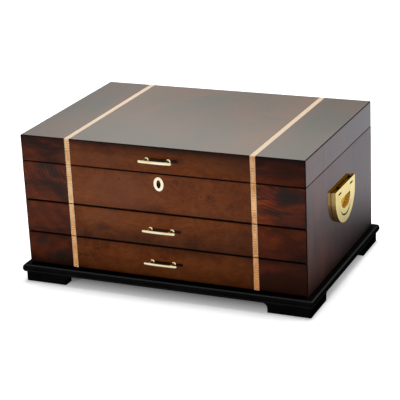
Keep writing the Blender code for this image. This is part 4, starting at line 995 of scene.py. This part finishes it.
VENEERED = {
    "lid_box": dict(
        name="veneer_lid",
        seed=2.2,
        left=(-0.21, -0.30, 0.30),
        right=(0.17, -0.34, 0.30),
        front_coat=0.4,
        right_coat=0.62,
        lines=0.5,
        tones=(2.1, 1.30, 0.95),
        warm_right=1.9,
        blotches=(
            (0.105, 0.182, 0.045, 0.014, 0.4, DARK_BLOTCH),
            (-0.085, 0.176, 0.060, 0.012, 0.25, PALE_PAINTED_SHEEN),
        ),
        lean=3.5 * MM,
        rise=((0.164, 1.0), (0.178, 1.0), (0.1875, 0.74), (0.1915, 0.42))
        + ((0.1955, 0.13), (0.1979, 0.1), (0.1981, 0.8)),
    ),
    "case_front_panel": dict(
        name="veneer_panel",
        seed=4.3,
        left=(-0.116, FRONT, 0.186),
        right=(0.205, FRONT, 0.215),
        knots=(((-0.0537, FRONT, 0.1533), 1.6 * MM),),
        blotches=(
            (-0.157, 0.158, 0.022, 0.006, 0.75, GREY_BLOTCH),
            (-0.146, 0.151, 0.012, 0.007, 0.7, GREY_BLOTCH),
            (-0.136, 0.1585, 0.010, 0.004, 0.7, RED_BLOTCH),
            (0.1672, 0.149, 0.021, 0.011, 0.85, GREY_BLOTCH),
            (0.1556, 0.1612, 0.018, 0.0035, 0.85, GREY_BLOTCH),
            (0.1592, 0.130, 0.024, 0.0035, 0.75, GREY_BLOTCH),
            (0.1401, 0.1508, 0.010, 0.007, 0.6, RED_BLOTCH),
            (0.1740, 0.1205, 0.018, 0.006, 0.7, RED_BLOTCH),
            (0.1340, 0.1445, 0.013, 0.0012, 0.8, GREY_BLOTCH),
            (0.0215, 0.1555, 0.007, 0.0035, 0.5, DARK_BLOTCH),
            (-0.060, 0.138, 0.065, 0.035, 0.4, PALE_PAINTED_SHEEN),
        ),
        front_coat=0.5,
        right_coat=0.75,
        tones=(2.7, 1.5, 1.75),
        warm_right=2.25,
        rise=((0.112, 0.75), (0.118, 0.92), (0.123, 1.0), (0.158, 1.0), (0.164, 0.8)),
    ),
    "drawer_upper_front": dict(
        name="veneer_upper",
        seed=6.7,
        left=(-0.23, FRONT, 0.13),
        right=(0.24, FRONT, 0.02),
        blotches=(
            (-0.083, 0.0850, 0.012, 0.006, 0.55, DARK_BLOTCH),
            (-0.060, 0.0800, 0.010, 0.004, 0.35, DARK_BLOTCH),
            (0.105, 0.0900, 0.040, 0.018, 0.3, DARK_BLOTCH),
            (-0.080, 0.1000, 0.040, 0.014, 0.3, PALE_PAINTED_SHEEN),
        ),
        front_coat=0.35,
        right_coat=0.62,
        lines=0.5,
        tones=(2.7, 1.33, 1.45),
        warm_right=1.5,
        rise=((0.0685, 0.4), (0.074, 0.5), (0.083, 0.75), (0.091, 0.95))
        + ((0.103, 1.1), (0.108, 1.05), (0.1115, 0.7)),
    ),
    "drawer_lower_front": dict(
        name="veneer_lower",
        seed=8.4,
        left=(-0.12, FRONT, -0.03),
        right=(0.10, FRONT, 0.12),
        blotches=(
            (-0.172, 0.055, 0.014, 0.008, 0.6, GREY_BLOTCH),
            (-0.141, 0.040, 0.012, 0.007, 0.6, GREY_BLOTCH),
            (-0.155, 0.036, 0.020, 0.005, 0.4, GREY_BLOTCH),
            (-0.155, 0.047, 0.045, 0.026, 0.22, GREY_BLOTCH),
            (0.162, 0.047, 0.060, 0.050, 0.5, RUST_BLOTCH),
        ),
        burls=((-0.1070, 0.0480, 0.015, 0.0055), (-0.0890, 0.0575, 0.010, 0.0045)),
        front_coat=0.22,
        lines=0.4,
        tones=(1.5, 1.05, 1.3),
        warm_right=2.0,
        rise=((0.025, 0.25), (0.030, 0.6), (0.036, 0.75), (0.043, 0.9))
        + ((0.051, 1.1), (0.060, 1.0), (0.0685, 0.6)),
    ),
}
for node, settings in VENEERED.items():
    paint(node, box_veneer(node, **settings))
SIDE_VENEER = side_veneer()
for node in ("case_side_left", "case_side_right", "case_back", "mirror_frame"):
    paint(node, SIDE_VENEER)

GOLD = gold("gold_plate")
PALE_GOLD = gold("gold_plate_pale", 0.16, (0.97, 0.87, 0.62))
WHITE_GOLD = gold("gold_plate_white", 0.25, (0.97, 0.91, 0.74))
LOCK_BRASS = gold("lock_brass", 0.4, (0.30, 0.21, 0.09))
# The last tint of each is lighter, painted on forward faces as a painted highlight
BAIL_GOLD = handle_gold("gold_plate_bail", (0.79, 0.65, 0.20), (1.0, 0.76, 0.30), is_bail=True)
PLATE_GOLD = handle_gold("gold_plate_back", (0.90, 0.60, 0.14), (1.0, 0.66, 0.22), is_bail=False)
SUEDE = suede("suede_lining", (0.52, 0.41, 0.28), (0.30, 0.22, 0.14))
ROLL_SUEDE = suede("suede_rolls", (0.60, 0.49, 0.35), (0.36, 0.27, 0.18))
FINISH_OF_SLOT = {
    "inlay_wood": inlay(),
    "ebonised_wood": ebonised(),
    "gold_plated_brass": GOLD,
    "drawer_wood": drawer_wood(),
    "lined_wood": SUEDE,
    "ring_fabric": ROLL_SUEDE,
    "mirror_glass": mirror(),
}
FINISH_OF_NODE = {
    **dict.fromkeys(PULLS, PALE_GOLD),
    "keyhole_plate": WHITE_GOLD,
    **dict.fromkeys(("lock_case", "lock_cam", "lock_bolt"), LOCK_BRASS),
    **dict.fromkeys(("handle_plate_left", "handle_plate_right"), PLATE_GOLD),
    **dict.fromkeys(("handle_bail_left", "handle_bail_right"), BAIL_GOLD),
}
for subpart in frame["record"]["subparts"]:
    if subpart["material_slot"] in FINISH_OF_SLOT:
        paint(subpart["node"], FINISH_OF_SLOT[subpart["material_slot"]])
for node, finish in FINISH_OF_NODE.items():
    paint(node, finish)

# Linings and ring rolls

line_walls(
    "compartment",
    "case",
    Vector((-INNER_HALF, INNER_FRONT, FLOOR_TOP)),
    Vector((INNER_HALF, INNER_BACK, LIP - COMPARTMENT_BARE)),
    DIVIDER_TOP + NOTCH_RISE,
)
for drawer in ("drawer_upper", "drawer_lower"):
    wall_low, wall_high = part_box(f"{drawer}_side_right")
    line_walls(
        drawer,
        drawer,
        Vector((-wall_low.x, INNER_FRONT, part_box(f"{drawer}_bottom")[1].z)),
        Vector((wall_low.x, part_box(f"{drawer}_back")[0].y, wall_high.z - DRAWER_BARE)),
        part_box(f"{drawer}_dividers")[1].z + NOTCH_RISE,
    )
line_walls(
    "lid",
    "lid",
    Vector((-INNER_HALF, INNER_FRONT, LID_LOW.z + LID_BARE)),
    Vector((INNER_HALF, INNER_BACK, CEILING)),
)
line_ceiling(CEILING - LINING_GAP)
rolls_low, rolls_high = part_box("ring_rolls")
clear = LINING_THICK + 3 * LINING_GAP
ring_cushion(Vector((clear - INNER_HALF, INNER_FRONT + clear, rolls_low.z)), rolls_high)

# Pulls and screws

for node, body in PULLS.items():
    pull_casting(node, body)

HINGE_SCREW = countersunk("hinge_screw", 2.2 * MM, 0.8 * MM, 1.0 * MM, 14 * MM)
PLATE_SCREW = countersunk("plate_screw", 2.8 * MM, 1.8 * MM, 1.2 * MM, 12 * MM)
PULL_SCREW = pan_head("pull_screw", 3.0 * MM, 1.5 * MM)
LOCK_SCREW = pan_head("lock_screw", 1.8 * MM, 0.12 * MM)
LEAVES = (("case", LIP, (0, 0, 1)), ("lid", LID_LOW.z, (0, 0, -1)))
for label, side in (("left", -1), ("right", 1)):
    for body, face, outward in LEAVES:
        aside = [side * HINGE_X + t * HINGE_SCREW_X for t in (-1, 1)]
        spots = [Vector((x, HINGE_SCREW_Y, face)) for x in aside]
        set_screws(f"hinge_screw_{body}_{label}", HINGE_SCREW, spots, outward, body)
    spots = [(HANDLE_Y + t * away, height) for away, height in HANDLE_SCREWS for t in (-1, 1)]
    spots = [Vector((side * HANDLE_SCREW_X, *spot)) for spot in spots]
    set_screws(f"handle_screw_{label}", PLATE_SCREW, spots, (side, 0, 0), "case")
for node, body in PULLS.items():
    height = (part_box(node)[0].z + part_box(node)[1].z) / 2
    behind = INNER_FRONT + LINING_THICK + 2 * LINING_GAP
    spots = [Vector((t * PULL_POST_X, behind, height)) for t in (-1, 1)]
    set_screws(f"{node}_screw", PULL_SCREW, spots, (0, 1, 0), body)
lock_y = (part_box("lock_case")[0].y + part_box("lock_case")[1].y) / 2
for prefix, (body, face, outward) in zip(("lock", "strike"), LEAVES):
    spots = [Vector((t * LOCK_SCREW_X, lock_y, face)) for t in (-1, 1)]
    set_screws(f"{prefix}_screw", LOCK_SCREW, spots, outward, body)

# The photographed lacquer mirrors the studio and not the handles
for obj in bpy.context.scene.objects:
    if obj.name.startswith("handle_"):
        obj.visible_glossy = False


# Floor, light and camera


def floor():
    """White floor, lit and glowing; its glow fades round the chest as a painted shadow. What
    lacquer and metal mirror of it is a painted reflection, dark round the chest and white beyond.
    """
    bm = bmesh.new()
    bmesh.ops.create_grid(bm, x_segments=1, y_segments=1, size=6)
    mesh = bpy.data.meshes.new("floor")
    bm.to_mesh(mesh)
    bm.free()
    obj = link("floor", mesh)
    s = Shader("floor_white")
    past = s.vector("SUBTRACT", s.vector("ABSOLUTE", s.place), (CAD_BOX[1].x, CAD_BOX[1].y, 0))
    behind = s.above(s.axes()[1], 0.0)
    nearer = s.mix(behind, (1.0, 0.9, 1.0), (1.0, 0.62, 1.0))
    beyond = s.stretched(s.vector("MAXIMUM", past, (0, 0, 0)), nearer)
    away = s.vector("LENGTH", beyond)
    past_x, past_y, _ = s.axes(past)
    under = s.math("MINIMUM", s.math("MAXIMUM", past_x, past_y), 0.0)
    s.set(Base_Color=FLOOR_WHITE, Roughness=0.9, Specular_IOR_Level=0.0)
    # Painted shadow: the floor's glow fades near the chest
    s.set(Emission_Color=(1, 1, 1, 1), Emission_Strength=s.steps(s.plus(away, under), FLOOR_GLOW))
    # Painted reflection: glossy rays see a glow of the floor, dark near the chest
    mirrored = s.between(away, *FLOOR_SHADE, 0.0, FLOOR_MIRRORED)
    glow = s.node("Emission", {"Color": FLOOR_MIRRORED_TINT, "Strength": mirrored})
    seen = s.node("LightPath").outputs["Is Glossy Ray"]
    both = s.node("MixShader", {0: seen, 1: s.surface.outputs[0], 2: glow.outputs[0]})
    s.put(s.tree.nodes["Material Output"].inputs["Surface"], both.outputs[0])
    mesh.materials.append(s.material)
    obj.visible_diffuse = False


def softbox(name, place, aim, size, watts):
    light = bpy.data.lights.new(name, "AREA")
    light.shape = "RECTANGLE"
    light.size, light.size_y = size
    light.energy = watts
    obj = link(name, light)
    obj.location = place
    obj.rotation_euler = (Vector(aim) - Vector(place)).to_track_quat("-Z", "Y").to_euler()
    obj.visible_glossy = False


def studio():
    """White surroundings: even light on matt surfaces, and what lacquer and metal mirror."""
    world = bpy.data.worlds.new("studio")
    bpy.context.scene.world = world
    world.use_nodes = True
    s = Nodes(world.node_tree)
    x, y, z = s.axes(s.node("TexCoord").outputs["Generated"])
    back = s.steps(z, BACK_LIGHT)
    for side in BACK_SIDES:
        back = s.times(back, s.between(x, *side))
    low_right = s.times(s.between(x, -0.45, -0.35), s.between(z, 0.288, 0.317, 1.0, 0.0))
    back = s.times(back, s.number(low_right, 1.0, BACK_LOW_RIGHT))
    mirrored = s.number(s.between(y, -0.25, 0.35), s.steps(z, FRONT_LIGHT), back)
    path = s.node("LightPath").outputs
    level = s.number(path["Is Glossy Ray"], s.between(y, -0.3, 0.3, *MATT_LIGHT), mirrored)
    level = s.number(path["Is Camera Ray"], level, SEEN_WHITE)
    background = s.tree.nodes["Background"]
    s.put(background.inputs["Color"], s.mix(path["Is Glossy Ray"], (1, 1, 1), MIRRORED_TINT))
    s.put(background.inputs["Strength"], level)


def camera():
    data = bpy.data.cameras.new("camera")
    data.lens = CAMERA_LENS
    data.sensor_width = SENSOR
    data.clip_start = 0.01
    obj = link("camera", data)
    turn, tip, roll = (math.radians(a) for a in CAMERA_TURNS)
    spin = Matrix.Rotation(turn, 4, "Z") @ Matrix.Rotation(tip, 4, "X")
    spin = spin @ Matrix.Rotation(roll, 4, "Z")
    obj.matrix_world = Matrix.Translation(CAMERA_PLACE) @ spin
    bpy.context.scene.camera = obj


camera()
floor()
studio()
for name, settings in SOFTBOXES.items():
    softbox(name, *settings)

view = bpy.context.scene.view_settings
view.view_transform = "Standard"
view.look = "None"
view.exposure = 0
view.gamma = 1
